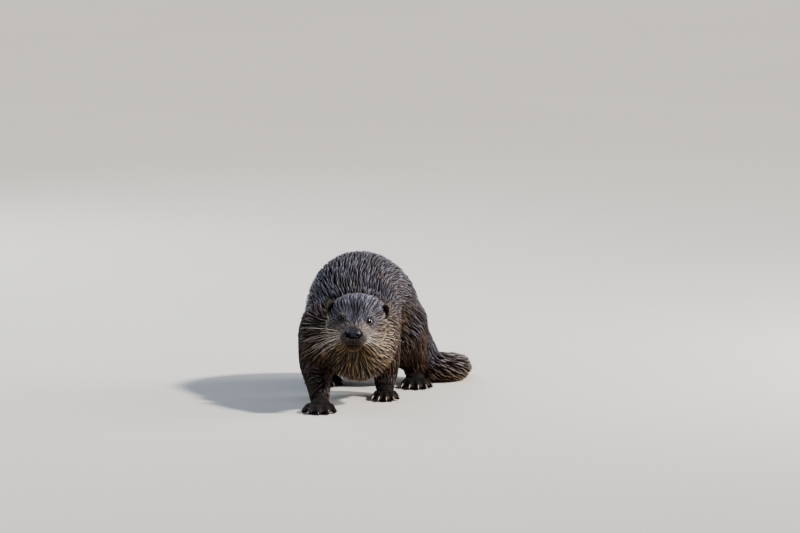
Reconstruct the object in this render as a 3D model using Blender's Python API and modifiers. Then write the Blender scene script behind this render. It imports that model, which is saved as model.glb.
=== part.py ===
"""A Eurasian otter, life size, standing hunched over the ground with its head held low.

The animal faces -Y, its left side is at +X and the floor is the plane z = 0. Its trunk goes
back from the shoulders, arches, and curls to its left, and the tail lies on the floor behind.
Sizes are in metres and reach out to the tips of the coat.

The flesh is modelled whole, from lofts along the spine and limbs and from muscles, fused into
one closed surface, set flat on the floor and then parted by thin cuts into head, neck, trunk,
legs, paws, tail and ears. Eyes, nose and claws are pieces of their own, set in pockets.
"""

import math

import bmesh
import bpy
import numpy as np
from mathutils import Euler, Matrix, Vector

# Fusing and facets
ROUNDING = 0.7  # depth of a tube's rounded ends, as a share of its half width
VOXEL = 0.0023  # edge of the grid that fuses the forms
SMOOTHING_PASSES = 5
FACE_BUDGET = 4600  # triangles of the fused flesh, before it is parted
FINE_FAVOUR = 0.00002  # how far the head and paws keep their facets at the trunk's expense
CUT_GAP = 0.00035  # width of the cuts, and of the gap round a piece set in a pocket
FLOOR = 0.0012  # height at which the forms are cut flat, for the soles and the tail

# The head, in its own frame: the nose tip is its origin, +Y runs back and +Z up
NOSE_TIP = Vector((-0.0015, -0.117, 0.1315))
HEAD_TURN = Euler((math.radians(8.0), math.radians(4.0), math.radians(-3.5)))
EYE_RADIUS = 0.0062
EYE_PLACE = Vector((0.0212, 0.0365, 0.0120))  # the left eye; the right one mirrors it
EAR_PLACE = Vector((0.0470, 0.0880, 0.0170))
EAR_RADII = Vector((0.0085, 0.0050, 0.0105))
EAR_TURN = Euler((math.radians(-15.0), math.radians(20.0), math.radians(-30.0)))
NOSE_PLACE = Vector((0.0, 0.0050, 0.0008))
NOSE_RADII = Vector((0.0125, 0.0078, 0.0074))

# Cross-sections of the head: back from the nose, half width, top and bottom
HEAD_SECTIONS = (
    (0.006, 0.0100, 0.0060, -0.0120),
    (0.011, 0.0170, 0.0095, -0.0190),
    (0.019, 0.0225, 0.0125, -0.0265),
    (0.029, 0.0280, 0.0170, -0.0315),
    (0.042, 0.0350, 0.0240, -0.0350),
    (0.058, 0.0430, 0.0300, -0.0385),
    (0.076, 0.0490, 0.0340, -0.0410),
    (0.096, 0.0520, 0.0350, -0.0450),
    (0.120, 0.0530, 0.0340, -0.0480),
)

# The spine from the neck to the tail's tip: centre, half width and half height
SPINE = (
    ((0.0030, -0.026, 0.1280), 0.0530, 0.0520),
    ((0.0060, -0.004, 0.1190), 0.0620, 0.0640),
    ((0.0070, 0.020, 0.1150), 0.0670, 0.0700),
    ((-0.0010, 0.055, 0.1180), 0.0760, 0.0720),
    ((-0.0040, 0.095, 0.1300), 0.0780, 0.0760),
    ((0.0010, 0.145, 0.1450), 0.0770, 0.0810),
    ((0.0160, 0.195, 0.1390), 0.0770, 0.0800),
    ((0.0370, 0.235, 0.1150), 0.0720, 0.0740),
    ((0.0660, 0.258, 0.0820), 0.0540, 0.0560),
    ((0.0930, 0.260, 0.0520), 0.0400, 0.0400),
    ((0.1180, 0.252, 0.0300), 0.0300, 0.0290),
    ((0.1410, 0.247, 0.0243), 0.0250, 0.0245),
    ((0.1600, 0.256, 0.0228), 0.0240, 0.0230),
    ((0.1660, 0.280, 0.0213), 0.0230, 0.0213),
    ((0.1590, 0.314, 0.0196), 0.0218, 0.0196),
    ((0.1420, 0.350, 0.0174), 0.0200, 0.0174),
    ((0.1180, 0.388, 0.0148), 0.0175, 0.0148),
    ((0.0900, 0.424, 0.0120), 0.0145, 0.0120),
    ((0.0610, 0.458, 0.0092), 0.0108, 0.0092),
    ((0.0330, 0.486, 0.0064), 0.0066, 0.0062),
)

# Muscles and pads of the body: centre, radii and turn about Z in degrees
BODY_MASSES = (
    ((-0.0500, 0.034, 0.1050), (0.0430, 0.052, 0.060), 0.0),  # right shoulder
    ((0.0300, 0.072, 0.1020), (0.0420, 0.052, 0.058), 0.0),  # left shoulder
    ((0.0060, 0.004, 0.0900), (0.0560, 0.046, 0.052), 0.0),  # chest, hanging low
    ((0.0790, 0.215, 0.0880), (0.0400, 0.052, 0.060), -20.0),  # left thigh
    ((-0.0160, 0.248, 0.0860), (0.0360, 0.050, 0.058), -25.0),  # right thigh
)

# Muscles and pads of the head, in its own frame: centre and radii, both sides
HEAD_PAIRS = (
    ((0.0100, 0.0160, -0.0080), (0.0130, 0.0140, 0.0100)),  # whisker pad
    ((0.0285, 0.0660, -0.0100), (0.0205, 0.0360, 0.0265)),  # cheek
    ((0.0195, 0.0470, 0.0135), (0.0125, 0.0125, 0.0085)),  # brow
)
HEAD_SINGLES = (
    ((0.0, 0.0210, -0.0250), (0.0140, 0.0150, 0.0085)),  # chin
    ((0.0, 0.0850, 0.0120), (0.0460, 0.0460, 0.0270)),  # crown
)

# Legs: joint places with half widths, from the shoulder or hip down to the wrist or heel
LEGS = {
    "foreleg_right": (
        ((-0.0520, 0.046, 0.1050), 0.0420),
        ((-0.0620, 0.034, 0.0720), 0.0310),
        ((-0.0590, 0.006, 0.0450), 0.0235),
        ((-0.0560, -0.028, 0.0250), 0.0180),
        ((-0.0550, -0.048, 0.0140), 0.0150),
    ),
    "foreleg_left": (
        ((0.0360, 0.076, 0.1020), 0.0400),
        ((0.0460, 0.101, 0.0720), 0.0300),
        ((0.0490, 0.104, 0.0460), 0.0235),
        ((0.0480, 0.096, 0.0260), 0.0185),
        ((0.0480, 0.086, 0.0130), 0.0150),
    ),
    "hindleg_left": (
        ((0.0740, 0.228, 0.1000), 0.0400),
        ((0.0860, 0.210, 0.0700), 0.0310),
        ((0.0940, 0.230, 0.0420), 0.0230),
        ((0.0960, 0.239, 0.0260), 0.0185),
        ((0.0965, 0.234, 0.0130), 0.0150),
    ),
    "hindleg_right": (
        ((-0.0120, 0.258, 0.1000), 0.0400),
        ((-0.0340, 0.236, 0.0700), 0.0310),
        ((-0.0430, 0.256, 0.0420), 0.0230),
        ((-0.0440, 0.266, 0.0260), 0.0185),
        ((-0.0440, 0.261, 0.0130), 0.0150),
    ),
}

# Paws: middle of the palm, heading in degrees from -Y towards +X, palm length and width,
# and how far the toes spread
PAWS = {
    "forepaw_right": ((-0.0545, -0.062), -4.0, 0.036, 0.036, 0.75),
    "forepaw_left": ((0.0480, 0.069), 2.0, 0.036, 0.031, 0.55),
    "hindpaw_left": ((0.0965, 0.208), 4.0, 0.052, 0.034, 0.55),
    "hindpaw_right": ((-0.0460, 0.236), -8.0, 0.052, 0.036, 0.80),
}
PALM_HEIGHT = 0.0125
TOE_FAN = (-46.0, -21.0, 2.0, 24.0, 48.0)  # degrees from the heading at full spread
TOE_REACH = (0.0240, 0.0310, 0.0330, 0.0310, 0.0240)  # from the palm's front
TOE_RADIUS = 0.0060
HIND_TOE_SCALE = 1.15
WEB_THICKNESS = 0.0050
CLAW_LENGTH = 0.0100
CLAW_RADIUS = 0.0021
CLAW_DROP = 0.0040

# The boxes that part the flesh: centre, size and turn in degrees. Those of the head and ears
# are in the head's frame, the ears' being the left one's; the last piece left is the trunk.
HEAD_BOX = ((0.0, 0.025, 0.010), (0.126, 0.150, 0.120))
EAR_BOX = ((0.0520, 0.0880, 0.0255), (0.0220, 0.0300, 0.0340), -40.0)
BOXES = {
    "forepaw_right": ((-0.055, -0.080, 0.015), (0.080, 0.078, 0.060), 0.0),
    "foreleg_right": ((-0.078, 0.024, 0.034), (0.100, 0.130, 0.096), 0.0),
    "forepaw_left": ((0.048, 0.044, 0.010), (0.080, 0.084, 0.048), 0.0),
    "foreleg_left": ((0.064, 0.096, 0.028), (0.090, 0.088, 0.080), 0.0),
    "hindpaw_left": ((0.096, 0.186, 0.005), (0.075, 0.084, 0.044), 0.0),
    "hindleg_left": ((0.092, 0.200, 0.034), (0.080, 0.104, 0.088), -5.0),
    "hindpaw_right": ((-0.046, 0.212, 0.005), (0.100, 0.088, 0.044), 0.0),
    "hindleg_right": ((-0.054, 0.240, 0.034), (0.080, 0.120, 0.088), 0.0),
    "tail_tip": ((0.050, 0.455, 0.020), (0.200, 0.140, 0.100), 0.0),
    "tail_middle": ((0.130, 0.350, 0.020), (0.140, 0.070, 0.100), 0.0),
    "tail_root": ((0.170, 0.260, 0.020), (0.110, 0.110, 0.120), 0.0),
    "neck": ((0.010, -0.020, 0.120), (0.150, 0.108, 0.200), 0.0),
}

COLOURS = {
    "fur": ((0.105, 0.078, 0.060), 0.62),
    "paw": ((0.045, 0.040, 0.040), 0.50),
    "nose": ((0.020, 0.019, 0.022), 0.34),
    "eye": ((0.012, 0.009, 0.008), 0.06),
    "claw": ((0.520, 0.440, 0.360), 0.42),
}


# ---------------------------------------------------------------- shapes


def new_object(name, mesh, collection):
    """An object that holds the mesh, in the collection."""
    made = bpy.data.objects.new(name, mesh)
    collection.objects.link(made)
    return made


def mesh_from(bm, name):
    """The bmesh as a mesh with its faces pointing out; the bmesh is freed."""
    bmesh.ops.recalc_face_normals(bm, faces=bm.faces)
    mesh = bpy.data.meshes.new(name)
    bm.to_mesh(mesh)
    bm.free()
    return mesh


def smooth_row(rows, steps):
    """Rows of numbers with steps - 1 more between each pair, on a Catmull-Rom curve."""
    rows = [np.array(r, float) for r in rows]
    padded = [2 * rows[0] - rows[1], *rows, 2 * rows[-1] - rows[-2]]
    found = []
    for a, b, c, d in zip(padded, padded[1:], padded[2:], padded[3:]):
        for i in range(steps):
            t = i / steps
            found.append(
                b
                + 0.5 * t * (c - a)
                + t * t * (a - 2.5 * b + 2 * c - 0.5 * d)
                + t * t * t * (1.5 * (b - c) + 0.5 * (d - a))
            )
    return [*found, rows[-1]]


def rounded(rows):
    """The rows of a tube with three smaller ones beyond each end, which round it off."""
    found = list(rows)
    for end, inner in ((0, 1), (-1, -2)):
        outward = found[end][:3] - found[inner][:3]
        outward = outward / np.linalg.norm(outward)
        reach = min(found[end][3:])
        last = found[end]
        for turn in (30, 60, 80):
            angle = math.radians(turn)
            centre = last[:3] + outward * (reach * ROUNDING * math.sin(angle))
            row = np.concatenate((centre, last[3:] * math.cos(angle)))
            found.insert(0 if end == 0 else len(found), row)
    return found


def loft(bm, sections, sides=24, steps=4, round_ends=True, upright=True):
    """Adds a closed tube through sections of (centre, half width, half height).

    The sections of an upright tube keep their height axis as near vertical as they can;
    those of another turn only as far as its bends turn them.
    """
    rows = smooth_row([(*centre, width, height) for centre, width, height in sections], steps)
    if round_ends:
        rows = rounded(rows)
    centres = [Vector(row[:3]) for row in rows]
    across = Vector((1, 0, 0))
    rings = []
    for i, row in enumerate(rows):
        along = centres[min(i + 1, len(rows) - 1)] - centres[max(i - 1, 0)]
        along.normalize()
        if upright:
            across = along.cross(Vector((0, 0, 1)))
        across = (across - along * across.dot(along)).normalized()
        over = across.cross(along)
        ring = []
        for k in range(sides):
            angle = 2 * math.pi * k / sides
            place = across * (row[3] * math.cos(angle)) + over * (row[4] * math.sin(angle))
            ring.append(bm.verts.new(centres[i] + place))
        rings.append(ring)
    for first, second in zip(rings, rings[1:]):
        for k in range(sides):
            n = (k + 1) % sides
            bm.faces.new((first[k], first[n], second[n], second[k]))
    bm.faces.new(reversed(rings[0]))
    bm.faces.new(rings[-1])


def ellipsoid(bm, centre, radii, turn=None, fineness=3):
    """Adds a ball of three radii, turned by an Euler about its centre."""
    matrix = Matrix.Translation(centre)
    if turn is not None:
        matrix = matrix @ turn.to_matrix().to_4x4()
    matrix = matrix @ Matrix.Diagonal((*radii, 1.0))
    bmesh.ops.create_icosphere(bm, subdivisions=fineness, radius=1.0, matrix=matrix)


def head_matrix():
    """From the head's own frame to the animal's."""
    return Matrix.Translation(NOSE_TIP) @ HEAD_TURN.to_matrix().to_4x4()


def in_head(x, y, z):
    """A point of the head's frame, in the animal's."""
    return head_matrix() @ Vector((x, y, z))


# ---------------------------------------------------------------- flesh


def head_forms(bm):
    """Skull, muzzle, cheeks, brows, chin and ears, as overlapping closed forms."""
    own = bmesh.new()
    sections = [
        ((0.0, back, (top + bottom) / 2), half_width, (top - bottom) / 2)
        for back, half_width, top, bottom in HEAD_SECTIONS
    ]
    loft(own, sections)
    for side in (-1, 1):
        for (x, y, z), radii in HEAD_PAIRS:
            ellipsoid(own, (side * x, y, z), radii)
        turn = EAR_TURN.copy()
        turn.y *= side
        turn.z *= side
        ellipsoid(own, (side * EAR_PLACE.x, EAR_PLACE.y, EAR_PLACE.z), EAR_RADII, turn)
    for centre, radii in HEAD_SINGLES:
        ellipsoid(own, centre, radii)
    bmesh.ops.transform(own, matrix=head_matrix(), verts=own.verts)
    mesh = mesh_from(own, "head_forms")
    bm.from_mesh(mesh)
    bpy.data.meshes.remove(mesh)


def paw_frame(paw):
    """The palm's middle on the floor, with -Y of the frame along the paw's heading."""
    (x, y), heading, _, _, _ = PAWS[paw]
    return Matrix.Translation((x, y, 0.0)) @ Matrix.Rotation(math.radians(heading), 4, "Z")


def toe_line(paw, index):
    """Root, knuckle, pad and tip of one toe, in the paw's own frame, with their radii."""
    _, _, length, width, spread = PAWS[paw]
    scale = HIND_TOE_SCALE if paw.startswith("hind") else 1.0
    share = (index - 2) / 2
    fan = math.radians(TOE_FAN[index] * spread)
    heading = Vector((math.sin(fan), -math.cos(fan), 0.0))
    root = Vector((share * (width / 2 - TOE_RADIUS), -(length / 2 - 0.009), 0.0))
    root.y += 0.006 * share * share
    reach = TOE_REACH[index] * scale
    radius = TOE_RADIUS * scale
    return (
        (root + Vector((0, 0, 0.0095)), radius),
        (root + heading * (reach * 0.45) + Vector((0, 0, 0.0125)), radius * 0.95),
        (root + heading * (reach * 0.82) + Vector((0, 0, 0.0070)), radius * 1.05),
        (root + heading * reach + Vector((0, 0, 0.0055)), radius * 0.55),
    )


def web(bm, paw):
    """Adds the skin between the toes: a thin fan that reaches two thirds along them."""
    toes = [toe_line(paw, index) for index in range(len(TOE_FAN))]
    outline = [Vector((0.0, 0.0, 0.0))]
    for index, toe in enumerate(toes):
        root, pad = toe[0][0], toe[2][0]
        outline.append(root.lerp(pad, 0.90))
        if index + 1 < len(toes):
            following = toes[index + 1]
            middle = (root + following[0][0]) / 2
            outline.append(middle.lerp((pad + following[2][0]) / 2, 0.70))
    corners = [bm.verts.new((p.x, p.y, 0.0030)) for p in outline]
    face = bm.faces.new(corners)
    grown = bmesh.ops.extrude_face_region(bm, geom=[face])
    lifted = [v for v in grown["geom"] if isinstance(v, bmesh.types.BMVert)]
    bmesh.ops.translate(bm, vec=(0, 0, WEB_THICKNESS), verts=lifted)


def paw_forms(bm, paw):
    """Palm, toes and web of a paw, as overlapping closed forms."""
    _, _, length, width, _ = PAWS[paw]
    own = bmesh.new()
    palm = (width / 2, length / 2, PALM_HEIGHT)
    ellipsoid(own, (0.0, 0.0, PALM_HEIGHT - 0.0012), palm)
    for index in range(len(TOE_FAN)):
        toe = [(place, r, r) for place, r in toe_line(paw, index)]
        loft(own, toe, sides=12, upright=False)
    web(own, paw)
    bmesh.ops.transform(own, matrix=paw_frame(paw), verts=own.verts)
    mesh = mesh_from(own, "paw_forms")
    bm.from_mesh(mesh)
    bpy.data.meshes.remove(mesh)


def flesh(collection):
    """The whole body as one closed, faceted surface, flat where it stands on the floor."""
    bm = bmesh.new()
    loft(bm, SPINE, sides=32)
    head_forms(bm)
    for centre, radii, heading in BODY_MASSES:
        ellipsoid(bm, centre, radii, Euler((0, 0, math.radians(heading))))
    for joints in LEGS.values():
        loft(bm, [(place, r, r * 1.05) for place, r in joints], sides=20, upright=False)
    for paw in PAWS:
        paw_forms(bm, paw)
    made = new_object("flesh", mesh_from(bm, "flesh"), collection)
    grid = made.modifiers.new("fuse", "REMESH")
    grid.mode = "VOXEL"
    grid.voxel_size = VOXEL
    relax = made.modifiers.new("relax", "SMOOTH")
    relax.factor = 0.5
    relax.iterations = SMOOTHING_PASSES
    bake(made)
    favour_fine_forms(made)
    facets = made.modifiers.new("facets", "DECIMATE")
    facets.ratio = FACE_BUDGET / (2 * len(made.data.polygons))
    facets.vertex_group = "coarse"
    facets.vertex_group_factor = FINE_FAVOUR
    bake(made)
    stand(made)
    return made


def favour_fine_forms(body):
    """Weights that let the trunk and tail take larger facets than the head and paws."""
    paws = [paw_frame(paw).translation for paw in PAWS]
    weights = body.vertex_groups.new(name="coarse")
    for vertex in body.data.vertices:
        weight = 1.0
        if min((vertex.co - place).length for place in paws) < 0.06:
            weight = 0.7
        if (vertex.co - NOSE_TIP).length < 0.11:
            weight = 0.4
        weights.add([vertex.index], weight, "REPLACE")


def stand(body):
    """Takes off what would be under the floor, which leaves flats on the soles and tail."""
    bm = bmesh.new()
    bm.from_mesh(body.data)
    geometry = [*bm.verts, *bm.edges, *bm.faces]
    cut = bmesh.ops.bisect_plane(
        bm, geom=geometry, dist=1e-6, plane_co=(0, 0, FLOOR), plane_no=(0, 0, -1), clear_outer=True
    )
    edges = [e for e in cut["geom_cut"] if isinstance(e, bmesh.types.BMEdge)]
    bmesh.ops.triangle_fill(bm, edges=edges, use_dissolve=False, normal=(0, 0, -1))
    bm.to_mesh(body.data)
    bm.free()


# ---------------------------------------------------------------- cuts


def bake(obj):
    """Replaces an object's mesh by its evaluated one and drops its modifiers."""
    bpy.context.view_layer.update()
    graph = bpy.context.evaluated_depsgraph_get()
    mesh = bpy.data.meshes.new_from_object(obj.evaluated_get(graph), depsgraph=graph)
    obj.modifiers.clear()
    old = obj.data
    obj.data = mesh
    bpy.data.meshes.remove(old)


def combine(obj, other, operation):
    """Applies an exact Boolean of another object to this one."""
    made = obj.modifiers.new(operation.lower(), "BOOLEAN")
    made.operation = operation
    made.object = other
    bake(obj)


def cutter(name, bm, collection):
    """A helper object that only cuts."""
    made = new_object(name, mesh_from(bm, name), collection)
    made.hide_render = True
    made.display_type = "WIRE"
    return made


def block(name, centre, size, turn, collection):
    """A box that marks out one part of the body, turned by an Euler about its centre."""
    bm = bmesh.new()
    matrix = Matrix.Translation(centre) @ turn.to_matrix().to_4x4()
    bmesh.ops.create_cube(bm, size=1.0, matrix=matrix @ Matrix.Diagonal((*size, 1.0)))
    return cutter(name, bm, collection)


def part_off(body, name, centre, size, turn, parts, cutters):
    """Takes what lies in a box off the body, as an object of its own, with a thin gap."""
    inner = block(name + "_inner", centre, size, turn, cutters)
    outer_size = [side + 2 * CUT_GAP for side in size]
    outer = block(name + "_outer", centre, outer_size, turn, cutters)
    piece = new_object(name, body.data.copy(), parts)
    combine(piece, inner, "INTERSECT")
    combine(body, outer, "DIFFERENCE")
    return piece


def pocket(body, piece, grown, collection):
    """Cuts room for a piece into the body, with the grown mesh of that piece."""
    tool = new_object(piece.name + "_room", grown, collection)
    tool.hide_render = True
    tool.display_type = "WIRE"
    combine(body, tool, "DIFFERENCE")


# ---------------------------------------------------------------- small pieces


def eyes(head, parts, cutters):
    """The two eyeballs, each in a socket of the head."""
    for side, name in ((-1, "eye_right"), (1, "eye_left")):
        centre = in_head(side * EYE_PLACE.x, EYE_PLACE.y, EYE_PLACE.z)
        meshes = []
        for radius in (EYE_RADIUS, EYE_RADIUS + CUT_GAP):
            bm = bmesh.new()
            bmesh.ops.create_icosphere(
                bm, subdivisions=2, radius=radius, matrix=Matrix.Translation(centre)
            )
            meshes.append(mesh_from(bm, name))
        eye = new_object(name, meshes[0], parts)
        pocket(head, eye, meshes[1], cutters)
        dress(eye, "eye")


def claw_mesh(frame, root, heading, grow):
    """A claw: a tapered horn that curves down, rooted inside the toe's tip."""
    bm = bmesh.new()
    radius = CLAW_RADIUS + 2 * grow
    root = root - heading * (2 * grow)
    length = CLAW_LENGTH + 4 * grow
    sections = []
    for share, size, drop in ((0.0, 0.9, 0.0), (0.5, 0.95, 0.2), (1.0, 0.25, 1.0)):
        place = root + heading * (length * share) - Vector((0, 0, drop * CLAW_DROP))
        sections.append((place, radius * size * 0.8, radius * size))
    loft(bm, sections, sides=5, steps=1, round_ends=False)
    bmesh.ops.transform(bm, matrix=frame, verts=bm.verts)
    return mesh_from(bm, "claw")


def claws(paw, body, parts, cutters):
    """The five claws of a paw, each in a pocket of its toe."""
    frame = paw_frame(paw)
    for index in range(len(TOE_FAN)):
        line = toe_line(paw, index)
        pad, tip = line[2][0], line[3][0]
        heading = (tip - pad).normalized()
        heading.z = 0.0
        root = tip - heading * 0.0042 + Vector((0, 0, 0.0022))
        name = f"claw_{paw}_{index + 1}"
        claw = new_object(name, claw_mesh(frame, root, heading, 0.0), parts)
        pocket(body, claw, claw_mesh(frame, root, heading, CUT_GAP), cutters)
        dress(claw, "claw")


# ---------------------------------------------------------------- assembly


def dress(obj, kind):
    """Gives an object its material and soft shading."""
    colour, roughness = COLOURS[kind]
    material = bpy.data.materials.get(kind) or bpy.data.materials.new(kind)
    material.use_nodes = True
    shader = material.node_tree.nodes["Principled BSDF"]
    shader.inputs["Base Color"].default_value = (*colour, 1.0)
    shader.inputs["Roughness"].default_value = roughness
    obj.data.materials.clear()
    obj.data.materials.append(material)
    obj.data.shade_smooth()
    obj.data.set_sharp_from_angle(angle=math.radians(50))


def degrees(x, y, z):
    """An Euler from angles in degrees."""
    return Euler((math.radians(x), math.radians(y), math.radians(z)))


def clear_scene():
    """Removes everything that a new file starts with."""
    for obj in list(bpy.data.objects):
        bpy.data.objects.remove(obj)


def new_collection(name):
    """A collection of that name in the scene."""
    made = bpy.data.collections.new(name)
    bpy.context.scene.collection.children.link(made)
    return made


def head_piece(head, name, box, side, parts, cutters):
    """Parts a box of the head's own frame off the head; side mirrors it."""
    (x, y, z), size, lean = box
    turn = HEAD_TURN.to_matrix() @ degrees(0, side * lean, 0).to_matrix()
    return part_off(head, name, in_head(side * x, y, z), size, turn.to_euler(), parts, cutters)


def nose(head, parts, cutters):
    """The bare nose pad, set in the tip of the muzzle."""
    meshes = []
    for grow in (0.0, CUT_GAP):
        bm = bmesh.new()
        radii = [radius + grow for radius in NOSE_RADII]
        ellipsoid(bm, NOSE_PLACE, radii, fineness=2)
        bmesh.ops.transform(bm, matrix=head_matrix(), verts=bm.verts)
        meshes.append(mesh_from(bm, "nose_pad"))
    pad = new_object("nose_pad", meshes[0], parts)
    pocket(head, pad, meshes[1], cutters)
    dress(pad, "nose")


def centre_on_floor(parts):
    """Moves every piece so that the origin is under the middle of the whole, on the floor."""
    corners = [v.co for obj in parts.objects for v in obj.data.vertices]
    low = [min(co[i] for co in corners) for i in range(3)]
    high = [max(co[i] for co in corners) for i in range(3)]
    shift = Vector((-(low[0] + high[0]) / 2, -(low[1] + high[1]) / 2, -low[2]))
    print("shift", [round(v, 5) for v in shift])
    for obj in bpy.data.objects:
        obj.data.transform(Matrix.Translation(shift))


def main():
    """Builds the otter and stands it over the origin."""
    clear_scene()
    parts = new_collection("otter")
    cutters = new_collection("cutters")
    body = flesh(parts)
    body.name = "trunk"
    centre, size = HEAD_BOX
    turn = HEAD_TURN.to_matrix().to_euler()
    pieces = {"head": part_off(body, "head", in_head(*centre), size, turn, parts, cutters)}
    for name, (centre, size, lean) in BOXES.items():
        pieces[name] = part_off(body, name, centre, size, degrees(0, 0, lean), parts, cutters)
    head = pieces["head"]
    for side, name in ((-1, "ear_right"), (1, "ear_left")):
        pieces[name] = head_piece(head, name, EAR_BOX, side, parts, cutters)
    for name, piece in pieces.items():
        dress(piece, "paw" if "paw" in name else "fur")
    dress(body, "fur")
    nose(head, parts, cutters)
    eyes(head, parts, cutters)
    for paw in PAWS:
        claws(paw, pieces[paw], parts, cutters)
    centre_on_floor(parts)


main()
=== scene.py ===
"""A Eurasian otter, life size, hunched over the ground with its head held low.

One skin covers the whole body. It lies inside the solids by the depth of the coat, and the
coat stands on it as tufts that follow the lie of the fur. Eyes, nose, ears, claws and
whiskers are pieces of their own. Sizes are in metres. The body's own sizes are given in the
pose frame, in which the animal was laid out; Pose.shift takes them to the model's frame.
"""

from __future__ import annotations

import logging
import math
from dataclasses import dataclass, field
from enum import Enum

import bmesh
import bpy
import numpy as np
from mathutils import Euler, Matrix, Vector
from mathutils.bvhtree import BVHTree
from mathutils.kdtree import KDTree

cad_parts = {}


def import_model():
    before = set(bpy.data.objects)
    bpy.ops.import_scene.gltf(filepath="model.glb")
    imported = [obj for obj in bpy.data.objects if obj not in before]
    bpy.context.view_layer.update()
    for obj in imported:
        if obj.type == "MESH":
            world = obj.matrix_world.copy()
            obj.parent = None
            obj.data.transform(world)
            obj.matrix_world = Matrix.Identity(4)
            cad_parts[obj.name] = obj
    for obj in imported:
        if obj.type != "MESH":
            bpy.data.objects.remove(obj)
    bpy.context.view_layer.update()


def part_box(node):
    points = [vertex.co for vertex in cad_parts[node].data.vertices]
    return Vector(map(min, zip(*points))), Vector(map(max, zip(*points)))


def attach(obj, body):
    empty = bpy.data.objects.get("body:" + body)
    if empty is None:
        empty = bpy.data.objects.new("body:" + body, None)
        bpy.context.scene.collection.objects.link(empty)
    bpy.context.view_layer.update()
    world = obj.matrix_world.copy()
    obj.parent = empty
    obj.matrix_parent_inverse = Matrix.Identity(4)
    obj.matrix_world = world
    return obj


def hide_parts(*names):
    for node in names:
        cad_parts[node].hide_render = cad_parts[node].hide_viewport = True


Triple = tuple[float, float, float]
Row = tuple[float, ...]
Shares = dict[str, np.ndarray]  # a value for each place, by name
Joint = tuple[np.ndarray, float]  # a place and the radius there

LOG = logging.getLogger("otter")
ROOT_BODY = "root"
SEED = 20260
FLOOR_LEVEL = 0.0012  # height of the floor in the pose frame
TUFTS_PER_PIECE = 19_600
TUFT_CORNERS = 7
LOCK_CHOICES = 12  # how many of the nearest locks a root may join
LOCK_SPREAD = 1.12  # distance between locks, against the size of their ground
CELL_STEP = 1.12  # ratio of one size of cell to the next
HASH_FACTORS = (374761393, 668265263, 2246822519)
HASH_SEED_FACTOR = 1274126177
HASH_LAST_FACTOR = 2654435769

PAW_NAMES = ("forepaw_right", "forepaw_left", "hindpaw_left", "hindpaw_right")
EYE_NODES = ("eye_left", "eye_right")
FLESH_NODES = (
    "head",
    "neck",
    "trunk",
    "tail_root",
    "tail_middle",
    "tail_tip",
    "foreleg_right",
    "foreleg_left",
    "hindleg_left",
    "hindleg_right",
    *PAW_NAMES,
)


# ---------------------------------------------------------------- numbers and arrays


def unit(vectors: np.ndarray) -> np.ndarray:
    """The vectors at length one."""
    length = np.linalg.norm(vectors, axis=-1, keepdims=True)
    return vectors / np.maximum(length, 1e-9)


def eased(share: np.ndarray) -> np.ndarray:
    """A share from 0 to 1, made to start and end softly."""
    return share * share * (3.0 - 2.0 * share)


def ramp(values: np.ndarray, start: float, end: float) -> np.ndarray:
    """A smooth step from 0 at start to 1 at end, either of which may be the larger."""
    return eased(np.clip((values - start) / (end - start), 0.0, 1.0))


def bell(values: np.ndarray, width: float | np.ndarray) -> np.ndarray:
    """A smooth peak of 1 where the values are 0, which falls off over about the width."""
    return np.exp(-((values / width) ** 2))


def blend(first: np.ndarray, second: np.ndarray, share: np.ndarray) -> np.ndarray:
    """A mix of two arrays of rows, by a share for each row."""
    share = np.asarray(share)[..., None]
    return first * (1.0 - share) + second * share


def dot(first: np.ndarray, second: np.ndarray) -> np.ndarray:
    """The dot product of each pair of rows."""
    return (first * second).sum(-1)


def tangential(vectors: np.ndarray, normals: np.ndarray) -> np.ndarray:
    """The part of each vector that lies in the surface, at length one."""
    return unit(vectors - normals * dot(vectors, normals)[..., None])


def hashed(cells: np.ndarray, seed: int) -> np.ndarray:
    """A settled random number from 0 to 1 for each row of three whole numbers.

    Args:
        cells: Rows of whole numbers.
        seed: Which of many such numbers is wanted.

    Returns:
        One number for each row.
    """
    mask = np.uint64(0xFFFFFFFF)
    parts = cells.astype(np.int64).astype(np.uint64) & mask
    mixed = np.uint64(seed * HASH_SEED_FACTOR % 2**32)
    for axis, factor in enumerate(HASH_FACTORS):
        mixed = (mixed + parts[..., axis] * np.uint64(factor)) & mask
    for shift, factor in ((13, HASH_SEED_FACTOR), (16, HASH_LAST_FACTOR)):
        mixed = ((mixed ^ (mixed >> np.uint64(shift))) * np.uint64(factor)) & mask
    return (mixed ^ (mixed >> np.uint64(15))) / 2.0**32


def chance_at(places: np.ndarray, seed: int) -> np.ndarray:
    """A settled random number for each place, the same wherever it is asked for."""
    return hashed(np.floor(places * 1e6), seed)


def patches(points: np.ndarray, cell: float, seed: int) -> np.ndarray:
    """Soft noise from 0 to 1 with patches of about the cell's size.

    Args:
        points: Places, one a row.
        cell: Size of a patch.
        seed: Which noise.

    Returns:
        One number for each point.
    """
    scaled = points / cell
    low = np.floor(scaled)
    share = eased(scaled - low)
    total = np.zeros(len(points))
    for corner in range(8):
        step = np.array([corner & 1, corner >> 1 & 1, corner >> 2 & 1])
        weight = np.where(step, share, 1.0 - share).prod(-1)
        total += weight * hashed(low + step, seed)
    return total


# ---------------------------------------------------------------- the pose


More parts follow.
